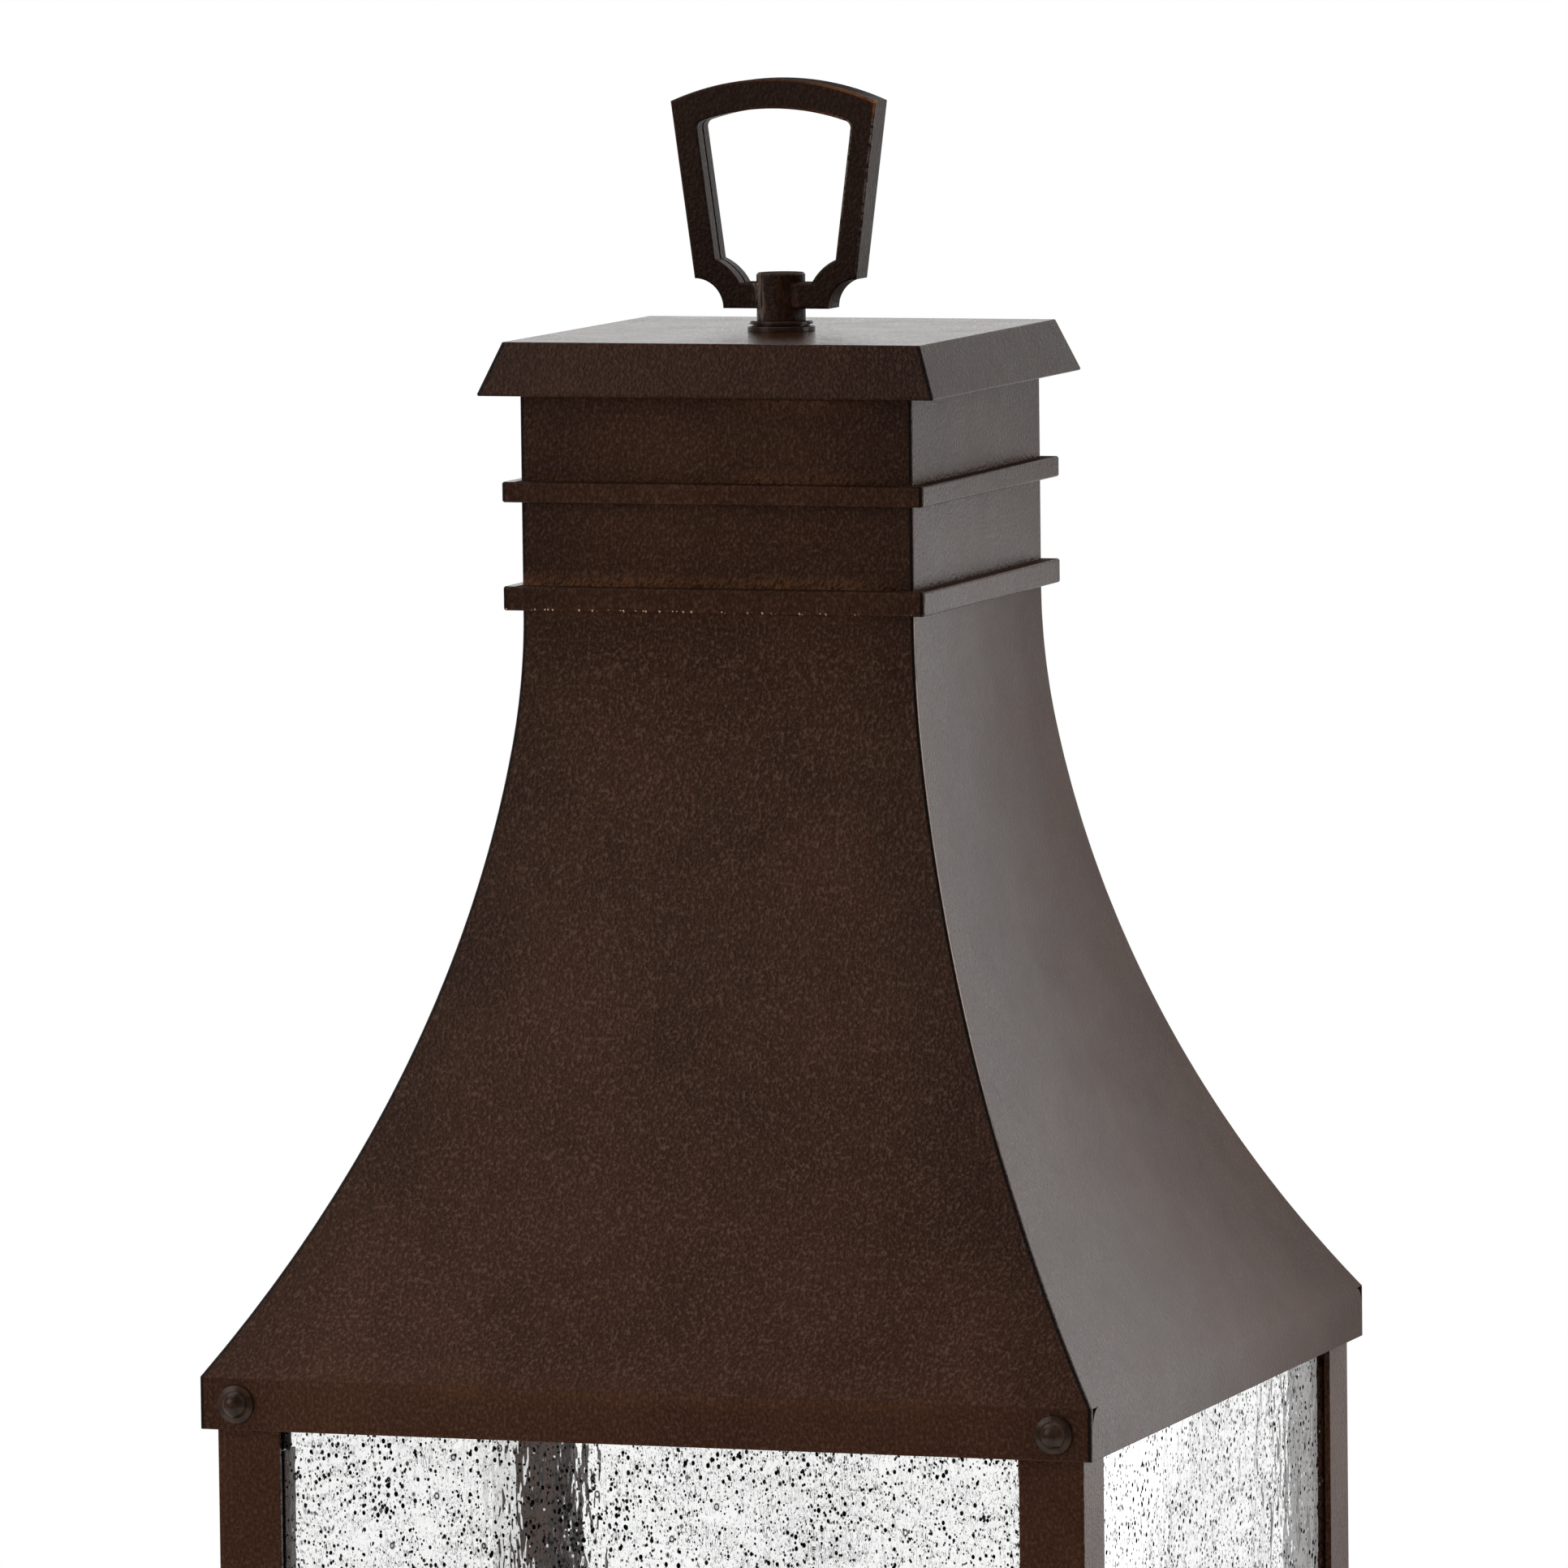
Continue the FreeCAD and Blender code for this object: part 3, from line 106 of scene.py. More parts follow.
# Fades: where one starts and ends, then what it gives there unless that is 0 and 1
CLOUD_FADE = (0.3, 0.7)
PIT_FADE = (0.35, 0.65, 0.72, 1.12)
GRAIN_SPECK_FADE = (0.5, 0.75, 0.0, 0.35)
PEEL_SPECK_FADE = (0.52, 0.7, 0.0, 0.4)
UPWARD_FADE = (0.9, 0.98)
EDGE_FADE = (0.02, 0.25)
CRANNY_SHADE_FADE = (0.3, 0.75, 0.0, 0.9)
RUST_FADE = (0.42, 0.6)
HIP_SHADE_FADE = (0.0, 0.03, 0.76, 1.0)
HIP_HIGHLIGHT_FADE = (0.3, 0.5, 0.4, 1.0)

# Painted highlight and painted shade lines along the hips: start, end and softness
HIP_HIGHLIGHT_LINE = (-0.0006, 0.0, 0.0002)
HIP_SHADE_LINE = (0.0001, 0.0011, 0.0002)

# Shares of the noises in the roughness and the relief
STAIN_SHEEN = 0.15
PEEL_SHEEN = 0.35
GRAIN_SHARE = 0.5
PEEL_SHARE = 1.4
GRAIN_RISE = 0.0002
EDGE_REACH = 0.0006
CRANNY_SHADE_REACH = 0.0016

# The skirt is painted lighter than the flare, as painted light, and plainer; the painted highlight along
# the hips starts well above it
roof_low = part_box("roof_shell")[0].z
SKIRT_LOW = roof_low + 0.011
SKIRT_HIGH = roof_low + 0.025
SKIRT_PAINTED_LIGHT = 1.22
SKIRT_SPECKLE = 0.5
PALE_FOOT = roof_low + 0.065
PALE_TOP = roof_low + 0.115
ROOF_BACK_DULL = 0.2

# The ledges of the bands are polished beside the neck, on its left
neck_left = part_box("roof_neck")[0].x
LEDGE_FAR = neck_left - 0.0010
LEDGE_NEAR = neck_left - 0.0002

# Knob screws, rubbed by fingers
KNOB_DARK = (0.016, 0.0075, 0.0042, 1)
KNOB_LIGHT = (0.044, 0.023, 0.014, 1)
KNOB_METAL = 0.2
KNOB_SPECULAR = 0.2
KNOB_REACH = 0.00025
KNOB_RISE = 0.00005
KNOB_NOISE = (240.0, 4.0, 0.6)
KNOB_FADE = (0.35, 0.65)
KNOB_CRANNY_SHADE_FADE = (0.3, 0.7, 0.0, 0.9)
KNOB_ROUGH_FADE = (0.3, 0.7, 0.14, 0.26)

# How finely edges and crannies are searched
EDGE_SAMPLES = 6
CRANNY_SHADE_SAMPLES = 8


class Nodes:
    """The nodes of one material or world, made from left to right."""

    def __init__(self, tree):
        self.tree = tree
        self.tree.nodes.clear()

    def feed(self, socket, value):
        if isinstance(value, bpy.types.NodeSocket):
            self.tree.links.new(value, socket)
        else:
            socket.default_value = value

    def add(self, kind, inputs, **settings):
        node = self.tree.nodes.new(kind)
        for key, value in settings.items():
            setattr(node, key, value)
        for key, value in inputs.items():
            self.feed(node.inputs[key], value)
        return node

    def maths(self, operation, *values):
        inputs = dict(enumerate(values))
        return self.add("ShaderNodeMath", inputs, operation=operation).outputs[0]

    def times(self, *values):
        total = values[0]
        for value in values[1:]:
            total = self.maths("MULTIPLY", total, value)
        return total

    def plus(self, *values):
        total = values[0]
        for value in values[1:]:
            total = self.maths("ADD", total, value)
        return total

    def less(self, first, second):
        return self.maths("SUBTRACT", first, second)

    def top(self, first, second):
        return self.maths("MAXIMUM", first, second)

    def vector(self, operation, *values, output=0):
        inputs = dict(enumerate(values))
        return self.add("ShaderNodeVectorMath", inputs, operation=operation).outputs[output]

    def fade(self, value, low, high, start=0.0, end=1.0):
        """Goes smoothly from start to end as the value goes from low to high."""
        inputs = {"Value": value, "From Min": low, "From Max": high, "To Min": start, "To Max": end}
        return self.add("ShaderNodeMapRange", inputs, interpolation_type="SMOOTHSTEP").outputs[0]

    def mix(self, share, first, second):
        inputs = {0: share, 6: first, 7: second}
        return self.add("ShaderNodeMix", inputs, data_type="RGBA").outputs[2]

    def blend(self, share, first, second):
        inputs = {0: share, 2: first, 3: second}
        return self.add("ShaderNodeMix", inputs, data_type="FLOAT").outputs[0]

    def noise(self, place, scale, detail, roughness):
        inputs = {"Vector": place, "Scale": scale, "Detail": detail, "Roughness": roughness}
        return self.add("ShaderNodeTexNoise", inputs).outputs["Fac"]

    def cells(self, place, scale):
        return self.add("ShaderNodeTexVoronoi", {"Vector": place, "Scale": scale})

    def place(self):
        return self.add("ShaderNodeTexCoord", {}).outputs["Object"]

    def stretched(self, place, scale):
        return self.vector("MULTIPLY", place, scale)

    def axes(self, place):
        return self.add("ShaderNodeSeparateXYZ", {0: place}).outputs

    def joined(self, *values):
        return self.add("ShaderNodeCombineXYZ", dict(enumerate(values))).outputs[0]

    def normal(self):
        return self.add("ShaderNodeNewGeometry", {}).outputs["Normal"]

    def soft_edge(self, reach):
        return self.add("ShaderNodeBevel", {"Radius": reach}, samples=EDGE_SAMPLES).outputs[0]

    def edges(self, reach, low, high):
        """High along the edges, where the softened normal leaves the real one."""
        match = self.vector("DOT_PRODUCT", self.soft_edge(reach), self.normal(), output=1)
        return self.fade(self.less(1.0, match), low, high)

    def crannies(self, reach):
        """High where other surfaces stand close."""
        shade = self.add("ShaderNodeAmbientOcclusion", {"Distance": reach}, samples=CRANNY_SHADE_SAMPLES)
        return self.less(1.0, shade.outputs["AO"])

    def window(self, value, low, high, soft):
        """High where the value lies between low and high."""
        rise = self.fade(value, low - soft, low + soft)
        return self.times(rise, self.fade(value, high - soft, high + soft, 1.0, 0.0))

    def bump(self, height, rise, normal=None):
        inputs = {"Height": height, "Strength": 1.0, "Distance": rise}
        if normal is not None:
            inputs["Normal"] = normal
        return self.add("ShaderNodeBump", inputs).outputs[0]

    def surface(self, **inputs):
        named = {key.replace("_", " "): value for key, value in inputs.items()}
        return self.add("ShaderNodeBsdfPrincipled", named)

    def done(self, shader, kind="ShaderNodeOutputMaterial"):
        output = self.add(kind, {})
        self.tree.links.new(shader, output.inputs["Surface"])


def new_material(name):
    material = bpy.data.materials.new(name)
    material.use_nodes = True
    return material, Nodes(material.node_tree)


def ray_kinds(nodes):
    """Whether a ray comes from the camera, gloss or glass, and whether it comes from gloss."""
    ray = nodes.add("ShaderNodeLightPath", {})
    glossy = nodes.less(ray.outputs["Is Glossy Ray"], ray.outputs["Is Transmission Ray"])
    seen = nodes.top(ray.outputs["Is Camera Ray"], ray.outputs["Is Transmission Ray"])
    return nodes.top(seen, glossy), nodes.top(glossy, 0.0)


# Paint rubbed down to its coppery undercoat

BAND_SOFT = 0.0002
SPAN_SOFT = 0.014
STREAK_SLANT = -0.5
STREAK_LENGTH = 0.55
STREAK_NOISE = (1150.0, 3.0, 0.65)
STREAK_FADE = (0.34, 0.64)
RUB_FADE = (0.3, 0.55, 0.5, 1.0)


def rubbed(spans):
    """Coppery streaks: each span fades from start to end, between left and right."""

    def marks(nodes, place, stain, edge):
        x, y, z = nodes.axes(place)
        slant = nodes.plus(x, nodes.times(z, STREAK_SLANT))
        slanted = nodes.joined(slant, y, nodes.times(z, STREAK_LENGTH))
        streak = nodes.fade(nodes.noise(slanted, *STREAK_NOISE), *STREAK_FADE)
        total = 0.0
        for start, end, left, right, strength in spans:
            inside = nodes.window(z, min(start, end), max(start, end), BAND_SOFT)
            across = nodes.window(x, left, right, SPAN_SOFT)
            along = nodes.times(inside, nodes.fade(z, start, end, 1.0, 0.0), across)
            total = nodes.top(total, nodes.times(along, strength))
        return [(nodes.times(total, streak, nodes.fade(stain, *RUB_FADE)), BRONZE_COPPER)]

    return marks


# Bright dots along the arrises of the bands: bare metal, partly painted glints

BEAD_SCALE = 1050.0
BEAD_FLAT = 0.3
BEAD_RISE = 0.0006
BEAD_DROP = 0.0002
BEAD_SOFT = 0.0001
BEAD_SIZE_FADE = (0.22, 0.34, 1.0, 0.0)
BEAD_FEW_FADE = (0.86, 0.9, 0.0, 0.5)
BEAD_FACING_FADE = (0.5, 0.9)
BEAD_ACROSS_FADE = (0.02, 0.05, 1.0, 0.1)


def beaded(low):
    """Bright dots along the lowest arris, and a few along the others: bare metal, partly painted glints.
    """

    def marks(nodes, place, stain, edge):
        x, y, z = nodes.axes(place)
        flat = nodes.joined(x, nodes.times(y, BEAD_FLAT), nodes.times(z, BEAD_FLAT))
        dots = nodes.cells(flat, BEAD_SCALE)
        near = nodes.fade(dots.outputs["Distance"], *BEAD_SIZE_FADE)
        few = nodes.times(edge, nodes.fade(nodes.axes(dots.outputs["Color"])[0], *BEAD_FEW_FADE))
        facing = nodes.maths("ABSOLUTE", nodes.axes(nodes.normal())[1])
        shown = nodes.times(nodes.fade(facing, *BEAD_FACING_FADE), nodes.fade(x, *BEAD_ACROSS_FADE))
        lowest = nodes.times(nodes.window(z, low - BEAD_DROP, low + BEAD_RISE, BEAD_SOFT), shown)
        # Bare metal dots, partly painted glints
        return [(nodes.times(near, nodes.top(few, lowest)), BRONZE_BEAD_GLINT)]

    return marks


# Wear and painted light of the loop: its front face, crown, right limb and stem

LOOP_REACH = 0.001
LOOP_EDGE_FADE = (0.01, 0.12)
LOOP_FRONT_FADE = (-0.0036, -0.0044)
CROWN_LOW = 0.012
CROWN_HIGH = 0.008
CROWN_SKY_FADE = (0.75, 0.9)
ORANGE_START_FADE = (-0.02, 0.0)
ORANGE_GROWTH_FADE = (0.004, 0.027, 0.15, 1.0)
ORANGE_STAIN_FADE = (0.3, 0.5)
CRUMB_NOISE = (750.0, 2.0, 0.6)
CRUMB_FADE = (0.4, 0.55)
LIMB_SIDE_FADE = (0.012, 0.02)
LIMB_LOW = 0.05
LIMB_HIGH = 0.025
LIMB_FAINT = 0.25
LIMB_END_LOW = 0.009
LIMB_END_HIGH = 0.007
STEM_HALF = 0.0068
STEM_SOFT = 0.0001
STEM_RIM = 0.0008
STEM_STRETCH = (1.0, 1.0, 0.2)
STEM_NOISE = (700.0, 3.0, 0.6)
STEM_FADE = (0.42, 0.66)
STEM_LEFT_FADE = (-0.0045, -0.0015, 1.0, 0.0)
CROWN_PAINTED_SHADE = 0.85
STEM_PAINTED_STREAKS = 0.12
STEM_LEFT_HIGHLIGHT = 0.3
LIMB_BARE_AND_HIGHLIGHT = 0.7
CROWN_ORANGE = 0.9


def loop_wear(top, stem_top):
    """Orange undercoat along the crown's front arris, painted shade on the crown's top, a bare line down
    the right limb that is partly a painted highlight, and a stem with painted reflection streaks and a
    painted highlight on its left.
    """

    def marks(nodes, place, stain, edge):
        x, y, z = nodes.axes(place)
        arris = nodes.edges(LOOP_REACH, *LOOP_EDGE_FADE)
        front_edge = nodes.times(arris, nodes.fade(y, *LOOP_FRONT_FADE))
        crown = nodes.fade(z, top - CROWN_LOW, top - CROWN_HIGH)
        # Painted shade on the crown's top, in place of a dark reflection
        sky = nodes.times(nodes.fade(nodes.axes(nodes.normal())[2], *CROWN_SKY_FADE), crown)
        shoulder = nodes.times(nodes.fade(x, *ORANGE_START_FADE), nodes.fade(x, *ORANGE_GROWTH_FADE))
        orange = nodes.times(front_edge, crown, shoulder, nodes.fade(stain, *ORANGE_STAIN_FADE))
        crumbs = nodes.fade(nodes.noise(place, *CRUMB_NOISE), *CRUMB_FADE)
        # A bare line down the right limb's front arris, partly a painted highlight on its chamfer
        limb = nodes.times(front_edge, nodes.fade(x, *LIMB_SIDE_FADE), crumbs)
        limb = nodes.times(limb, nodes.fade(z, top - LIMB_LOW, top - LIMB_HIGH, LIMB_FAINT, 1.0))
        limb = nodes.times(limb, nodes.fade(z, top - LIMB_END_LOW, top - LIMB_END_HIGH, 1.0, 0.0))
        # Painted reflection streaks down the stem, and a painted highlight on its left
        below = nodes.fade(z, stem_top - STEM_RIM, stem_top, 1.0, 0.0)
        streak = nodes.fade(nodes.noise(nodes.stretched(place, STEM_STRETCH), *STEM_NOISE), *STEM_FADE)
        stem = nodes.times(below, nodes.window(x, -STEM_HALF, STEM_HALF, STEM_SOFT), streak)
        return [
            (nodes.times(sky, CROWN_PAINTED_SHADE), BRONZE_PAINTED_SHADE),
            (nodes.times(stem, STEM_PAINTED_STREAKS), BRONZE_COPPER),
            (nodes.times(stem, nodes.fade(x, *STEM_LEFT_FADE), STEM_LEFT_HIGHLIGHT), BRONZE_BARE_AND_HIGHLIGHT),
            (nodes.times(limb, LIMB_BARE_AND_HIGHLIGHT), BRONZE_BARE_AND_HIGHLIGHT),
            (nodes.times(orange, CROWN_ORANGE), BRONZE_ORANGE),
        ]

    return marks


# Painted highlight along the cap's rim

RIM_LOW = 0.0009
RIM_HIGH = 0.0005
RIM_FADE = (0.2, 0.45)


def rim_highlight(rim):
    """A pale painted highlight along the cap's top edge, patchy by the stain."""

    def marks(nodes, place, stain, edge):
        z = nodes.axes(place)[2]
        top = nodes.fade(z, rim - RIM_LOW, rim - RIM_HIGH)
        # Painted highlight along the cap's top edge
        return [(nodes.times(edge, top, nodes.fade(stain, *RIM_FADE)), BRONZE_PAINTED_HIGHLIGHT)]

    return marks


# The paint itself


def shaded(colour, share):
    return tuple(channel * share for channel in colour[:3]) + (1,)


def bronze(
    name,
    wear=0.5,
    marks=None,
    square=None,
    shade=1.0,
    speckle=0.4,
    rough=BRONZE_ROUGH,
    tops=POLISHED,
    back=0.0,
):
    """Dark bronze paint: clouded, finely grained, with light specks that are partly painted glints, darker
    in the crannies with painted shade, and worn along its edges.

    On a square piece the hips get painted shade on their front side and a thin dark painted shade line,
    and square is how strong the pale painted highlight line beside them is. Shade makes this piece's copy
    of the paint darker, as painted shade, below 1 and lighter, as painted light, above 1. Flat tops are as
    rough as tops says, left and right of the neck's left edge. The sides grow duller towards the back, by
    the roughness given as back.
    """
    material, nodes = new_material(name)
    place = nodes.place()
    x, y, z = nodes.axes(place)
    cloud = nodes.noise(place, *CLOUD_NOISE)
    stain = nodes.noise(place, *STAIN_NOISE)
    grain = nodes.noise(place, *GRAIN_NOISE)
    peel = nodes.noise(nodes.stretched(place, PEEL_STRETCH), *PEEL_NOISE)
    tint = nodes.fade(peel, *PIT_FADE)
    upward = nodes.fade(nodes.axes(nodes.normal())[2], *UPWARD_FADE)
    steep = nodes.less(1.0, upward)
    if square is not None:
        ahead = nodes.less(nodes.maths("ABSOLUTE", y), nodes.maths("ABSOLUTE", x))
        # Painted shade: the upright faces darker towards the hips on the front and back, and across the
        # sides
        tint = nodes.times(tint, nodes.blend(steep, 1.0, nodes.fade(ahead, *HIP_SHADE_FADE)))
    # Painted light: the skirt lighter than the flare
    tint = nodes.times(tint, nodes.fade(z, SKIRT_LOW, SKIRT_HIGH, SKIRT_PAINTED_LIGHT, 1.0))
    cloud_share = nodes.fade(cloud, *CLOUD_FADE)
    # Shade gives this piece a darker copy of the paint, as painted shade, or a lighter one, as painted
    # light
    colour = nodes.mix(cloud_share, shaded(BRONZE_DARK, shade), shaded(BRONZE_LIGHT, shade))
    colour = nodes.vector("MULTIPLY", colour, nodes.joined(tint, tint, tint))
    # Light specks of the grain, partly painted glints off the bumpy paint
    speck = nodes.top(nodes.fade(grain, *GRAIN_SPECK_FADE), nodes.fade(peel, *PEEL_SPECK_FADE))
    speck = nodes.times(speck, tint, speckle, nodes.fade(z, SKIRT_LOW, SKIRT_HIGH, SKIRT_SPECKLE, 1.0))
    colour = nodes.mix(speck, colour, shaded(BRONZE_SPECK_GLINT, shade))
    # Painted shade: darker in the crannies, where other surfaces stand close
    colour = nodes.mix(nodes.fade(nodes.crannies(CRANNY_SHADE_REACH), *CRANNY_SHADE_FADE), colour, BRONZE_PAINTED_SHADE)
    edge = nodes.edges(EDGE_REACH, *EDGE_FADE)
    colour = nodes.mix(nodes.times(edge, nodes.fade(stain, *RUST_FADE), wear), colour, BRONZE_RUST)
    if square is not None:
        lift = nodes.fade(z, PALE_FOOT, PALE_TOP)
        # Painted highlight: a pale, patchy line along each hip, starting above the skirt
        beside = nodes.times(nodes.window(ahead, *HIP_HIGHLIGHT_LINE), lift, nodes.fade(stain, *HIP_HIGHLIGHT_FADE))
        colour = nodes.mix(nodes.times(beside, steep, square), colour, BRONZE_PAINTED_HIGHLIGHT)
        # Painted shade: a thin dark line beside each hip, on the front and back faces
        colour = nodes.mix(nodes.times(steep, nodes.window(ahead, *HIP_SHADE_LINE)), colour, BRONZE_PAINTED_SHADE)
    for share, paint in marks(nodes, place, stain, edge) if marks else ():
        colour = nodes.mix(share, colour, paint)
    sheen = nodes.blend(upward, rough, nodes.fade(x, LEDGE_FAR, LEDGE_NEAR, *tops))
    sheen = nodes.plus(sheen, nodes.times(nodes.less(stain, MIDDLE), STAIN_SHEEN))
    sheen = nodes.plus(sheen, nodes.times(nodes.less(peel, MIDDLE), PEEL_SHEEN))
    if back:
        behind = nodes.maths("DIVIDE", y, nodes.maths("ABSOLUTE", x))
        sheen = nodes.plus(sheen, nodes.times(steep, nodes.fade(behind, -1.0, 1.0, 0.0, back)))
    relief = nodes.plus(nodes.times(grain, GRAIN_SHARE), nodes.times(peel, PEEL_SHARE))
    bump = nodes.bump(relief, GRAIN_RISE, nodes.soft_edge(EDGE_REACH))
    paint = nodes.surface(Base_Color=colour, Roughness=sheen, Normal=bump)
    paint.inputs["Specular IOR Level"].default_value = BRONZE_SPECULAR
    nodes.done(paint.outputs[0])
    return material


def knob_bronze(name):
    """The same paint rubbed shiny by fingers: part metal, dark, brown and barely rough."""
    material, nodes = new_material(name)
    place = nodes.place()
    stain = nodes.noise(place, *KNOB_NOISE)
    colour = nodes.mix(nodes.fade(stain, *KNOB_FADE), KNOB_DARK, KNOB_LIGHT)
    # Painted shade: darker in the crannies, where other surfaces stand close
    colour = nodes.mix(nodes.fade(nodes.crannies(CRANNY_SHADE_REACH), *KNOB_CRANNY_SHADE_FADE), colour, BRONZE_PAINTED_SHADE)
    bump = nodes.bump(nodes.noise(place, *PEEL_NOISE), KNOB_RISE, nodes.soft_edge(KNOB_REACH))
    paint = nodes.surface(Base_Color=colour, Roughness=nodes.fade(stain, *KNOB_ROUGH_FADE), Normal=bump)
    paint.inputs["Metallic"].default_value = KNOB_METAL
    paint.inputs["Specular IOR Level"].default_value = KNOB_SPECULAR
    nodes.done(paint.outputs[0])
    return material


# Glass

GLASS_TINT = (0.99, 0.995, 0.99, 1)
GLASS_IOR = 1.5
SEED_PAINTED_DARK = (0.001, 0.001, 0.001, 1)
SEED_STRETCH = (1.0, 0.7, 0.75)

# Layers of bubbles: scale, inner and outer reach, share kept, strength
SEED_LAYERS = (
    (420.0, 0.19, 0.25, 0.65, 1.0),
    (700.0, 0.2, 0.28, 0.5, 1.0),
    (1000.0, 0.2, 0.3, 0.25, 0.5),
)
SEED_SOFT = 0.1
CROWD_NOISE = (55.0, 3.0, 0.6)
CROWD_FADE = (0.3, 0.7, 0.75, 1.15)
RING_SCALE = 150.0
RING_LINE = (0.06, 0.12, 0.03)
RING_FEW_FADE = (0.6, 0.62)
FROST_SCALE = 560.0
FROST_SIZE_FADE = (0.22, 0.28, 1.0, 0.0)
FROST_FEW_FADE = (0.64, 0.66)
FROST_ROUGH = 0.55
FROST_SHARE = 0.1
SWAY_STRETCH = (1.0, 0.5, 0.35)
SWAY_NOISE = (32.0, 2.0, 0.5)
RIPPLE_STRETCH = (1.0, 0.5, 0.3)
RIPPLE_NOISE = (260.0, 2.0, 0.5)
RIPPLE_SHARE = 0.35
PANE_RISE = 0.0006
BULB_NOISE = (90.0, 1.0, 0.4)
BULB_RISE = 0.0002


def see_through(nodes, glass):
    """Lets the lamps' light through the glass, as real glass does."""
    ray = nodes.add("ShaderNodeLightPath", {})
    share = nodes.top(ray.outputs["Is Shadow Ray"], ray.outputs["Is Diffuse Ray"])
    clear = nodes.add("ShaderNodeBsdfTransparent", {"Color": GLASS_TINT})
    return nodes.add("ShaderNodeMixShader", {0: share, 1: glass, 2: clear.outputs[0]}).outputs[0]


def finish_glass(nodes, colour, rough, bump):
    """Glass of the common index that bends all light."""
    glass = nodes.surface(Base_Color=colour, Roughness=rough, Normal=bump)
    glass.inputs["IOR"].default_value = GLASS_IOR
    glass.inputs["Transmission Weight"].default_value = 1.0
    return glass.outputs[0]


def seeded_glass(name):
    """Clear rippled glass, full of small bubbles: matt black dots and dark rings, painted in place of the
    dark look bubbles get by bending light, and frosted specks.
    """
    material, nodes = new_material(name)
    place = nodes.stretched(nodes.place(), SEED_STRETCH)
    crowd = nodes.fade(nodes.noise(place, *CROWD_NOISE), *CROWD_FADE)
    dark = 0.0
    for scale, inner, outer, chance, strength in SEED_LAYERS:
        dots = nodes.cells(place, scale)
        near = nodes.fade(nodes.maths("DIVIDE", dots.outputs["Distance"], crowd), inner, outer, 1.0, 0.0)
        kept = nodes.fade(nodes.axes(dots.outputs["Color"])[0], chance, chance + SEED_SOFT, 1.0, 0.0)
        dark = nodes.top(dark, nodes.times(near, kept, strength))
    rings = nodes.cells(place, RING_SCALE)
    ring = nodes.window(rings.outputs["Distance"], *RING_LINE)
    few = nodes.fade(nodes.axes(rings.outputs["Color"])[0], *RING_FEW_FADE)
    dark = nodes.top(dark, nodes.times(ring, few))
    frost = nodes.cells(place, FROST_SCALE)
    frosted = nodes.fade(frost.outputs["Distance"], *FROST_SIZE_FADE)
    frosted = nodes.times(frosted, nodes.fade(nodes.axes(frost.outputs["Color"])[1], *FROST_FEW_FADE))
    sway = nodes.noise(nodes.stretched(nodes.place(), SWAY_STRETCH), *SWAY_NOISE)
    ripple = nodes.noise(nodes.stretched(nodes.place(), RIPPLE_STRETCH), *RIPPLE_NOISE)
    relief = nodes.plus(sway, nodes.times(ripple, RIPPLE_SHARE), nodes.times(frosted, FROST_SHARE))
    bump = nodes.bump(relief, PANE_RISE)
    glass = finish_glass(nodes, GLASS_TINT, nodes.times(frosted, FROST_ROUGH), bump)
    # Painted dark bubbles: a matt black surface where real bubbles look dark by bending light
    seed = nodes.add("ShaderNodeBsdfDiffuse", {"Color": SEED_PAINTED_DARK})
    seeded = nodes.add("ShaderNodeMixShader", {0: dark, 1: glass, 2: seed.outputs[0]})
    nodes.done(see_through(nodes, seeded.outputs[0]))
    return material


def clear_glass(name):
    material, nodes = new_material(name)
    bump = nodes.bump(nodes.noise(nodes.place(), *BULB_NOISE), BULB_RISE)
    nodes.done(see_through(nodes, finish_glass(nodes, GLASS_TINT, 0.0, bump)))
    return material


# Bare metal and plastic

BRUSH_STRETCH = (1.0, 1.0, 6.0)
BRUSH_NOISE = (320.0, 3.0, 0.6)
BRUSH_SHARE = 0.2
BRUSH_SHEEN = 0.15
METAL_NOISE = (90.0, 3.0, 0.6)
METAL_FADE = (0.3, 0.75)
METAL_SHADE = 0.6
METAL_RISE = 0.0001
METAL_REACH = 0.0003
PLASTIC_NOISE = (70.0, 4.0, 0.6)
PLASTIC_FADE = (0.3, 0.7)
PLASTIC_GRAIN = (900.0, 2.0, 0.5)
PLASTIC_RISE = 0.00003
PLASTIC_REACH = 0.0004


def plain_metal(name, colour, rough, pitch=None):
    """Bare metal with a fine brushed grain, and the ridges of a thread where it has a pitch."""
    material, nodes = new_material(name)
    place = nodes.place()
    brushed = nodes.noise(nodes.stretched(place, BRUSH_STRETCH), *BRUSH_NOISE)
    stain = nodes.noise(place, *METAL_NOISE)
    tone = nodes.mix(nodes.fade(stain, *METAL_FADE), colour, shaded(colour, METAL_SHADE))
    relief = nodes.times(brushed, BRUSH_SHARE)
    if pitch:
        turn = nodes.maths("SINE", nodes.times(nodes.axes(place)[2], math.tau / pitch))
        relief = nodes.plus(relief, turn)
    bump = nodes.bump(relief, METAL_RISE, nodes.soft_edge(METAL_REACH))
    sheen = nodes.plus(rough, nodes.times(brushed, BRUSH_SHEEN))
    metal = nodes.surface(Base_Color=tone, Roughness=sheen, Normal=bump)
    metal.inputs["Metallic"].default_value = 1.0
    nodes.done(metal.outputs[0])
    return material


def plastic(name, colour, shade, rough):
    material, nodes = new_material(name)
    place = nodes.place()
    tone = nodes.mix(nodes.fade(nodes.noise(place, *PLASTIC_NOISE), *PLASTIC_FADE), colour, shade)
    bump = nodes.bump(nodes.noise(place, *PLASTIC_GRAIN), PLASTIC_RISE, nodes.soft_edge(PLASTIC_REACH))
    body = nodes.surface(Base_Color=tone, Roughness=rough, Normal=bump)
    nodes.done(body.outputs[0])
    return material


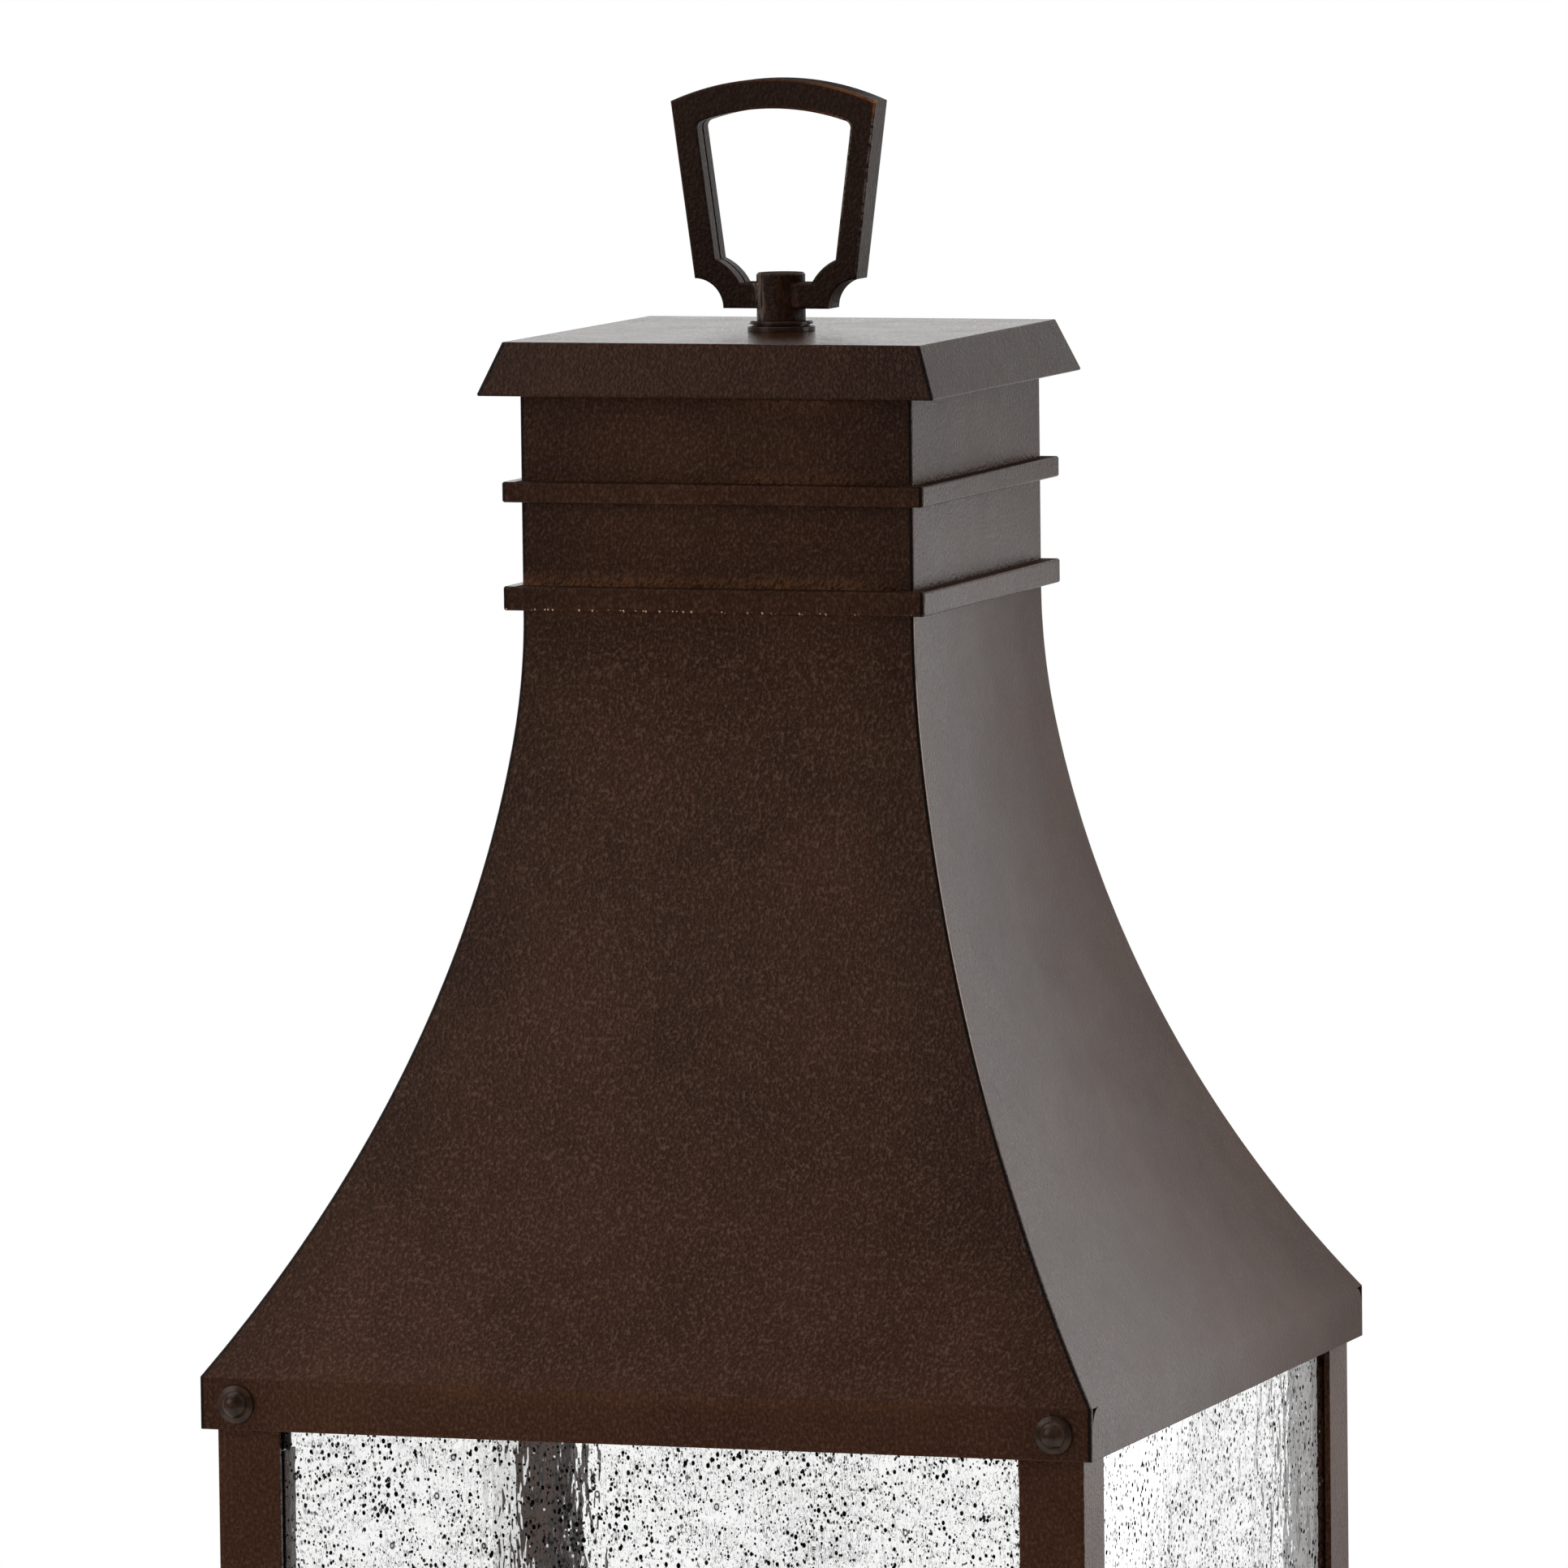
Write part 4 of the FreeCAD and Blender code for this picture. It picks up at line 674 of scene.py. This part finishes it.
def floor_material():
    """White to the camera far off, and pale with the lamp's shadow close by."""
    material, nodes = new_material("floor_white")
    seen, glossy = ray_kinds(nodes)
    place = nodes.place()
    far = nodes.fade(nodes.vector("LENGTH", place, output=1), FLOOR_NEAR, FLOOR_FAR)
    toward = nodes.axes(nodes.vector("NORMALIZE", place))[1]
    gloss = nodes.blend(glossy, 1.0, nodes.fade(toward, *GLOSS_TURN, FRONT_GLOSS, 1.0))
    matt = nodes.add("ShaderNodeBsdfDiffuse", {"Color": FLOOR_COLOUR})
    lift = nodes.add("ShaderNodeEmission", {"Color": WHITE, "Strength": nodes.times(seen, FLOOR_LIFT)})
    near = nodes.add("ShaderNodeAddShader", {0: matt.outputs[0], 1: lift.outputs[0]})
    white = nodes.add("ShaderNodeEmission", {"Color": WHITE, "Strength": gloss})
    inputs = {0: nodes.times(seen, far), 1: near.outputs[0], 2: white.outputs[0]}
    nodes.done(nodes.add("ShaderNodeMixShader", inputs).outputs[0])
    return material


# Studio and camera


def make_world():
    """Plain light all round, and white to the camera, to gloss and through glass.

    Gloss sees the dimmer room in front of the lamp and the white backdrop behind it.
    """
    world = bpy.data.worlds.new("studio")
    world.use_nodes = True
    bpy.context.scene.world = world
    nodes = Nodes(world.node_tree)
    seen, glossy = ray_kinds(nodes)
    toward = nodes.axes(nodes.add("ShaderNodeTexCoord", {}).outputs["Generated"])[1]
    strength = nodes.blend(seen, WORLD_LIGHT, 1.0)
    strength = nodes.blend(glossy, strength, nodes.fade(toward, *GLOSS_TURN, FRONT_GLOSS, 1.0))
    background = nodes.add("ShaderNodeBackground", {"Color": WHITE, "Strength": strength})
    nodes.done(background.outputs[0], "ShaderNodeOutputWorld")


def make_floor():
    mesh = bpy.data.meshes.new("floor")
    reach = FLOOR_REACH
    corners = [(-reach, -reach, 0), (reach, -reach, 0), (reach, reach, 0), (-reach, reach, 0)]
    mesh.from_pydata(corners, [], [(0, 1, 2, 3)])
    mesh.materials.append(floor_material())
    floor = bpy.data.objects.new("floor", mesh)
    floor.location = (0, 0, -FLOOR_DROP)
    bpy.context.collection.objects.link(floor)


def make_lights():
    for name, (place, aim, roll, width, height, power) in SOFT_LIGHTS.items():
        light = bpy.data.lights.new(name, "AREA")
        light.shape = "RECTANGLE"
        light.size = width
        light.size_y = height
        light.energy = power
        lamp = bpy.data.objects.new(name, light)
        lamp.location = place
        toward = Vector(aim) - Vector(place)
        turn = toward.to_track_quat("-Z", "Y") @ Quaternion((0, 0, 1), math.radians(roll))
        lamp.rotation_euler = turn.to_euler()
        lamp.visible_camera = False
        lamp.visible_transmission = False
        lamp.visible_glossy = name not in MATT_LIGHTS
        bpy.context.collection.objects.link(lamp)


def make_camera():
    camera = bpy.data.cameras.new("camera")
    camera.lens = CAMERA_LENS
    camera.sensor_width = CAMERA_SENSOR
    camera.clip_end = CAMERA_REACH
    holder = bpy.data.objects.new("camera", camera)
    turn = Matrix((CAMERA_RIGHT, CAMERA_UP, CAMERA_BACK)).transposed().to_4x4()
    holder.matrix_world = Matrix.Translation(CAMERA_PLACE) @ turn
    bpy.context.collection.objects.link(holder)
    bpy.context.scene.camera = holder


make_camera()
make_world()
make_floor()
make_lights()

# The solids' materials

STEEL = (0.60, 0.60, 0.58, 1)
TUNGSTEN = (0.42, 0.40, 0.38, 1)
BRASS = (0.78, 0.60, 0.33, 1)
IVORY = (0.80, 0.72, 0.55, 1)
IVORY_SHADE = (0.72, 0.62, 0.44, 1)
BLACK = (0.035, 0.035, 0.035, 1)
BLACK_SHADE = (0.055, 0.052, 0.05, 1)
GREEN = (0.05, 0.30, 0.10, 1)
GREEN_SHADE = (0.035, 0.22, 0.07, 1)
BRASS_ROUGH = 0.2
BRASS_PITCH = 0.0021
STEEL_ROUGH = 0.3
TUNGSTEN_ROUGH = 0.35
IVORY_ROUGH = 0.45
BLACK_ROUGH = 0.5
GREEN_ROUGH = 0.35
NECK_RUB = 0.0048
NECK_FAINT_RUB = 0.0036
CAP_RUB_START = 0.0010
CAP_RUB_END = 0.0065
SKIRT_RUB_START = 0.0140
SKIRT_RUB_END = 0.0090
RIB_RUB = 0.0040
STEM_TOP_RISE = 0.0305

by_slot = {
    "bronze_paint": bronze("bronze"),
    "seeded_glass": seeded_glass("seeded_glass"),
    "bulb_glass": clear_glass("bulb_glass"),
    "bulb_brass": plain_metal("brass", BRASS, BRASS_ROUGH, BRASS_PITCH),
    "candle_ivory": plastic("ivory", IVORY, IVORY_SHADE, IVORY_ROUGH),
    "socket_dark": plastic("socket_black", BLACK, BLACK_SHADE, BLACK_ROUGH),
    "zinc_steel": plain_metal("zinc", STEEL, STEEL_ROUGH),
    "ground_green": plastic("ground_green", GREEN, GREEN_SHADE, GREEN_ROUGH),
}
lower_low, lower_top = (corner.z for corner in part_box("neck_band_lower"))
upper_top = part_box("neck_band_upper")[1].z
cap_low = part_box("roof_cap")[0].z
loop_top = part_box("handle_loop")[1].z

# Rubbed spans: start and end in height, left and right, strength
neck_rubs = [
    (lower_top, lower_top + NECK_RUB, -0.075, 0.045, 0.65),
    (upper_top, upper_top + NECK_RUB, -0.002, 0.042, 0.5),
    (upper_top, upper_top + NECK_FAINT_RUB, -0.075, 0.075, 0.2),
    (cap_low - CAP_RUB_START, cap_low - CAP_RUB_END, 0.008, 0.038, 0.35),
]
roof_rubs = [
    (roof_low + SKIRT_RUB_START, roof_low + SKIRT_RUB_END, -0.065, 0.085, 0.16),
    (lower_low, lower_low - RIB_RUB, -0.075, 0.045, 0.25),
]
cap_rim = rim_highlight(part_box("roof_cap")[1].z)
loop_marks = loop_wear(loop_top, cap_low + STEM_TOP_RISE)

# The upper band has no row of dots along its lowest arris
lower_dots = beaded(lower_low)
upper_dots = beaded(0.0)
band_tops = (TOP_ROUGH, DULL_ROUGH)
dull = (DULL_ROUGH, DULL_ROUGH)

# Pieces whose paint differs from that of the rest; through shade the cap and the loop get painted shade
# and the posts painted light
by_node = {
    "roof_neck": bronze("bronze_neck", wear=0.3, marks=rubbed(neck_rubs), square=0.1, speckle=0.6),
    "roof_shell": bronze(
        "bronze_roof",
        wear=0.7,
        marks=rubbed(roof_rubs),
        square=0.6,
        speckle=0.9,
        back=ROOF_BACK_DULL,
    ),
    "roof_cap": bronze("bronze_cap", wear=0.3, marks=cap_rim, square=0.0, shade=0.8, speckle=0.5),
    "neck_band_lower": bronze(
        "bronze_band_lower", wear=0.35, marks=lower_dots, square=0.0, tops=band_tops
    ),
    "neck_band_upper": bronze(
        "bronze_band_upper", wear=0.35, marks=upper_dots, square=0.0, tops=band_tops
    ),
    "handle_loop": bronze(
        "bronze_loop",
        wear=0.25,
        marks=loop_marks,
        shade=0.5,
        speckle=0.3,
        rough=0.4,
        tops=dull,
    ),
    "handle_collar": knob_bronze("bronze_collar"),
}
by_stem = {
    "knob_screw": knob_bronze("bronze_knob"),
    "corner_post": bronze("bronze_post", wear=0.4, shade=1.1, speckle=0.6),
}
for part in frame["record"]["subparts"]:
    node = part["node"]
    stem = "_".join(node.split("_")[:2])
    material = by_node.get(node, by_stem.get(stem, by_slot[part["material_slot"]]))
    mesh = frame["nodes"][node].data
    mesh.materials.clear()
    mesh.materials.append(material)

# Pieces beside the solids


def add_piece(name, data, material, body):
    piece = bpy.data.objects.new(name, data)
    bpy.context.collection.objects.link(piece)
    data.materials.append(material)
    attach(piece, body)
    return piece


# The thin angle strips that hold the panes, beside the posts and between the clips

STOP_LAP = 0.0100
STOP_DEPTH = 0.0080
STOP_THICK = 0.0009
STOP_ROUND = 0.0002
STOP_GAP = 0.0004


def stop_outline(edge, face):
    """Section of one strip, between the front pane's inside and the left post's inner edge."""
    return [
        (edge, face),
        (edge, face + STOP_DEPTH),
        (edge - STOP_THICK, face + STOP_DEPTH),
        (edge - STOP_THICK, face + STOP_THICK),
        (edge - STOP_LAP, face + STOP_THICK),
        (edge - STOP_LAP, face),
    ]


def add_stops(paint):
    """Eight strips in one piece: two at each pane, the second the mirror image of the first."""
    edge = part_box("corner_post_front_left")[1].x
    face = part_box("glass_pane_front")[1].y
    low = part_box("glass_clips_lower")[1].z + STOP_GAP
    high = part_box("glass_clips_upper")[0].z - STOP_GAP
    shape = bmesh.new()
    for quarter in range(4):
        turn = Matrix.Rotation(quarter * math.pi / 2, 3, "Z")
        for side in (1, -1):
            rings = []
            for level in (low, high):
                outline = stop_outline(edge, face)
                spots = [turn @ Vector((side * across, along, level)) for across, along in outline]
                rings.append([shape.verts.new(spot) for spot in spots])
            count = len(rings[0])
            for step in range(count):
                after = (step + 1) % count
                shape.faces.new((rings[0][step], rings[0][after], rings[1][after], rings[1][step]))
            shape.faces.new(rings[0])
            shape.faces.new(rings[1])
    bmesh.ops.recalc_face_normals(shape, faces=shape.faces)
    mesh = bpy.data.meshes.new("glass_stops")
    shape.to_mesh(mesh)
    shape.free()
    stops = add_piece("glass_stops", mesh, paint, "lantern")
    rounding = stops.modifiers.new("rounding", "BEVEL")
    rounding.width = STOP_ROUND
    rounding.segments = 2


# What each lamp holds: a glass mount, two wires and a coiled filament

FOOT_RISE = 0.0028
MOUNT_RINGS = (
    (0.0, 0.0040),
    (0.004, 0.0042),
    (0.009, 0.0030),
    (0.015, 0.0020),
    (0.021, 0.0018),
    (0.024, 0.0024),
)
MOUNT_SIDES = 20
PINCH_RISE = 0.0240
WIRE_SPREAD = 0.0010
WIRE_RADIUS = 0.0002
ARC_RISE = 0.0445
ARC_HALF = 0.0060
ARC_BOW = 0.0100
COIL_TURNS = 30
COIL_STEPS = 8
COIL_RADIUS = 0.0004
FILAMENT_RADIUS = 0.0001


def lathed(name, foot, rings, sides):
    """A solid turned about the upright through foot, closed by its first and last rings."""
    shape = bmesh.new()
    loops = []
    for rise, radius in rings:
        turns = [2 * math.pi * step / sides for step in range(sides)]
        spots = [foot + Vector((radius * math.cos(turn), radius * math.sin(turn), rise)) for turn in turns]
        loops.append([shape.verts.new(spot) for spot in spots])
    for lower, upper in zip(loops, loops[1:]):
        for step in range(sides):
            after = (step + 1) % sides
            face = shape.faces.new((lower[step], lower[after], upper[after], upper[step]))
            face.smooth = True
    shape.faces.new(reversed(loops[0]))
    shape.faces.new(loops[-1])
    mesh = bpy.data.meshes.new(name)
    shape.to_mesh(mesh)
    shape.free()
    return mesh


def drawn(name, runs, radius):
    """Round wires, one along each run of points."""
    wires = bpy.data.curves.new(name, "CURVE")
    wires.dimensions = "3D"
    wires.bevel_depth = radius
    wires.bevel_resolution = 1
    wires.use_fill_caps = True
    for run in runs:
        spline = wires.splines.new("POLY")
        spline.points.add(len(run) - 1)
        for point, spot in zip(spline.points, run):
            point.co = (*spot, 1.0)
    return wires


def coil_points(foot):
    """A fine coil that runs over the wires' ends in a low arch."""
    middle = foot + Vector((0, 0, ARC_RISE))
    last = COIL_TURNS * COIL_STEPS
    points = []
    for step in range(last + 1):
        turn = 2 * math.pi * step / COIL_STEPS
        sweep = math.pi * step / last
        out = COIL_RADIUS * math.cos(turn)
        x = -(ARC_HALF + out) * math.cos(sweep)
        y = COIL_RADIUS * math.sin(turn)
        z = (ARC_BOW + out) * math.sin(sweep)
        points.append(middle + Vector((x, y, z)))
    return points


def fill_lamp(number, mount_glass, wire_metal):
    low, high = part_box(f"bulb_glass_{number}")
    foot = Vector(((low.x + high.x) / 2, (low.y + high.y) / 2, low.z + FOOT_RISE))
    body = f"bulb_{number}"
    mount = lathed("mount", foot, MOUNT_RINGS, MOUNT_SIDES)
    add_piece(f"lamp_mount_{number}", mount, mount_glass, body)
    runs = []
    for side in (-1, 1):
        start = foot + Vector((side * WIRE_SPREAD, 0, PINCH_RISE))
        end = foot + Vector((side * ARC_HALF, 0, ARC_RISE))
        runs.append([start, end])
    wires = drawn("wires", runs, WIRE_RADIUS)
    add_piece(f"lamp_wires_{number}", wires, wire_metal, body)
    filament = drawn("filament", [coil_points(foot)], FILAMENT_RADIUS)
    add_piece(f"lamp_filament_{number}", filament, wire_metal, body)


add_stops(by_slot["bronze_paint"])
tungsten = plain_metal("tungsten", TUNGSTEN, TUNGSTEN_ROUGH)
for number in (1, 2, 3):
    fill_lamp(number, by_slot["bulb_glass"], tungsten)

# View

bpy.context.scene.view_settings.view_transform = "Standard"
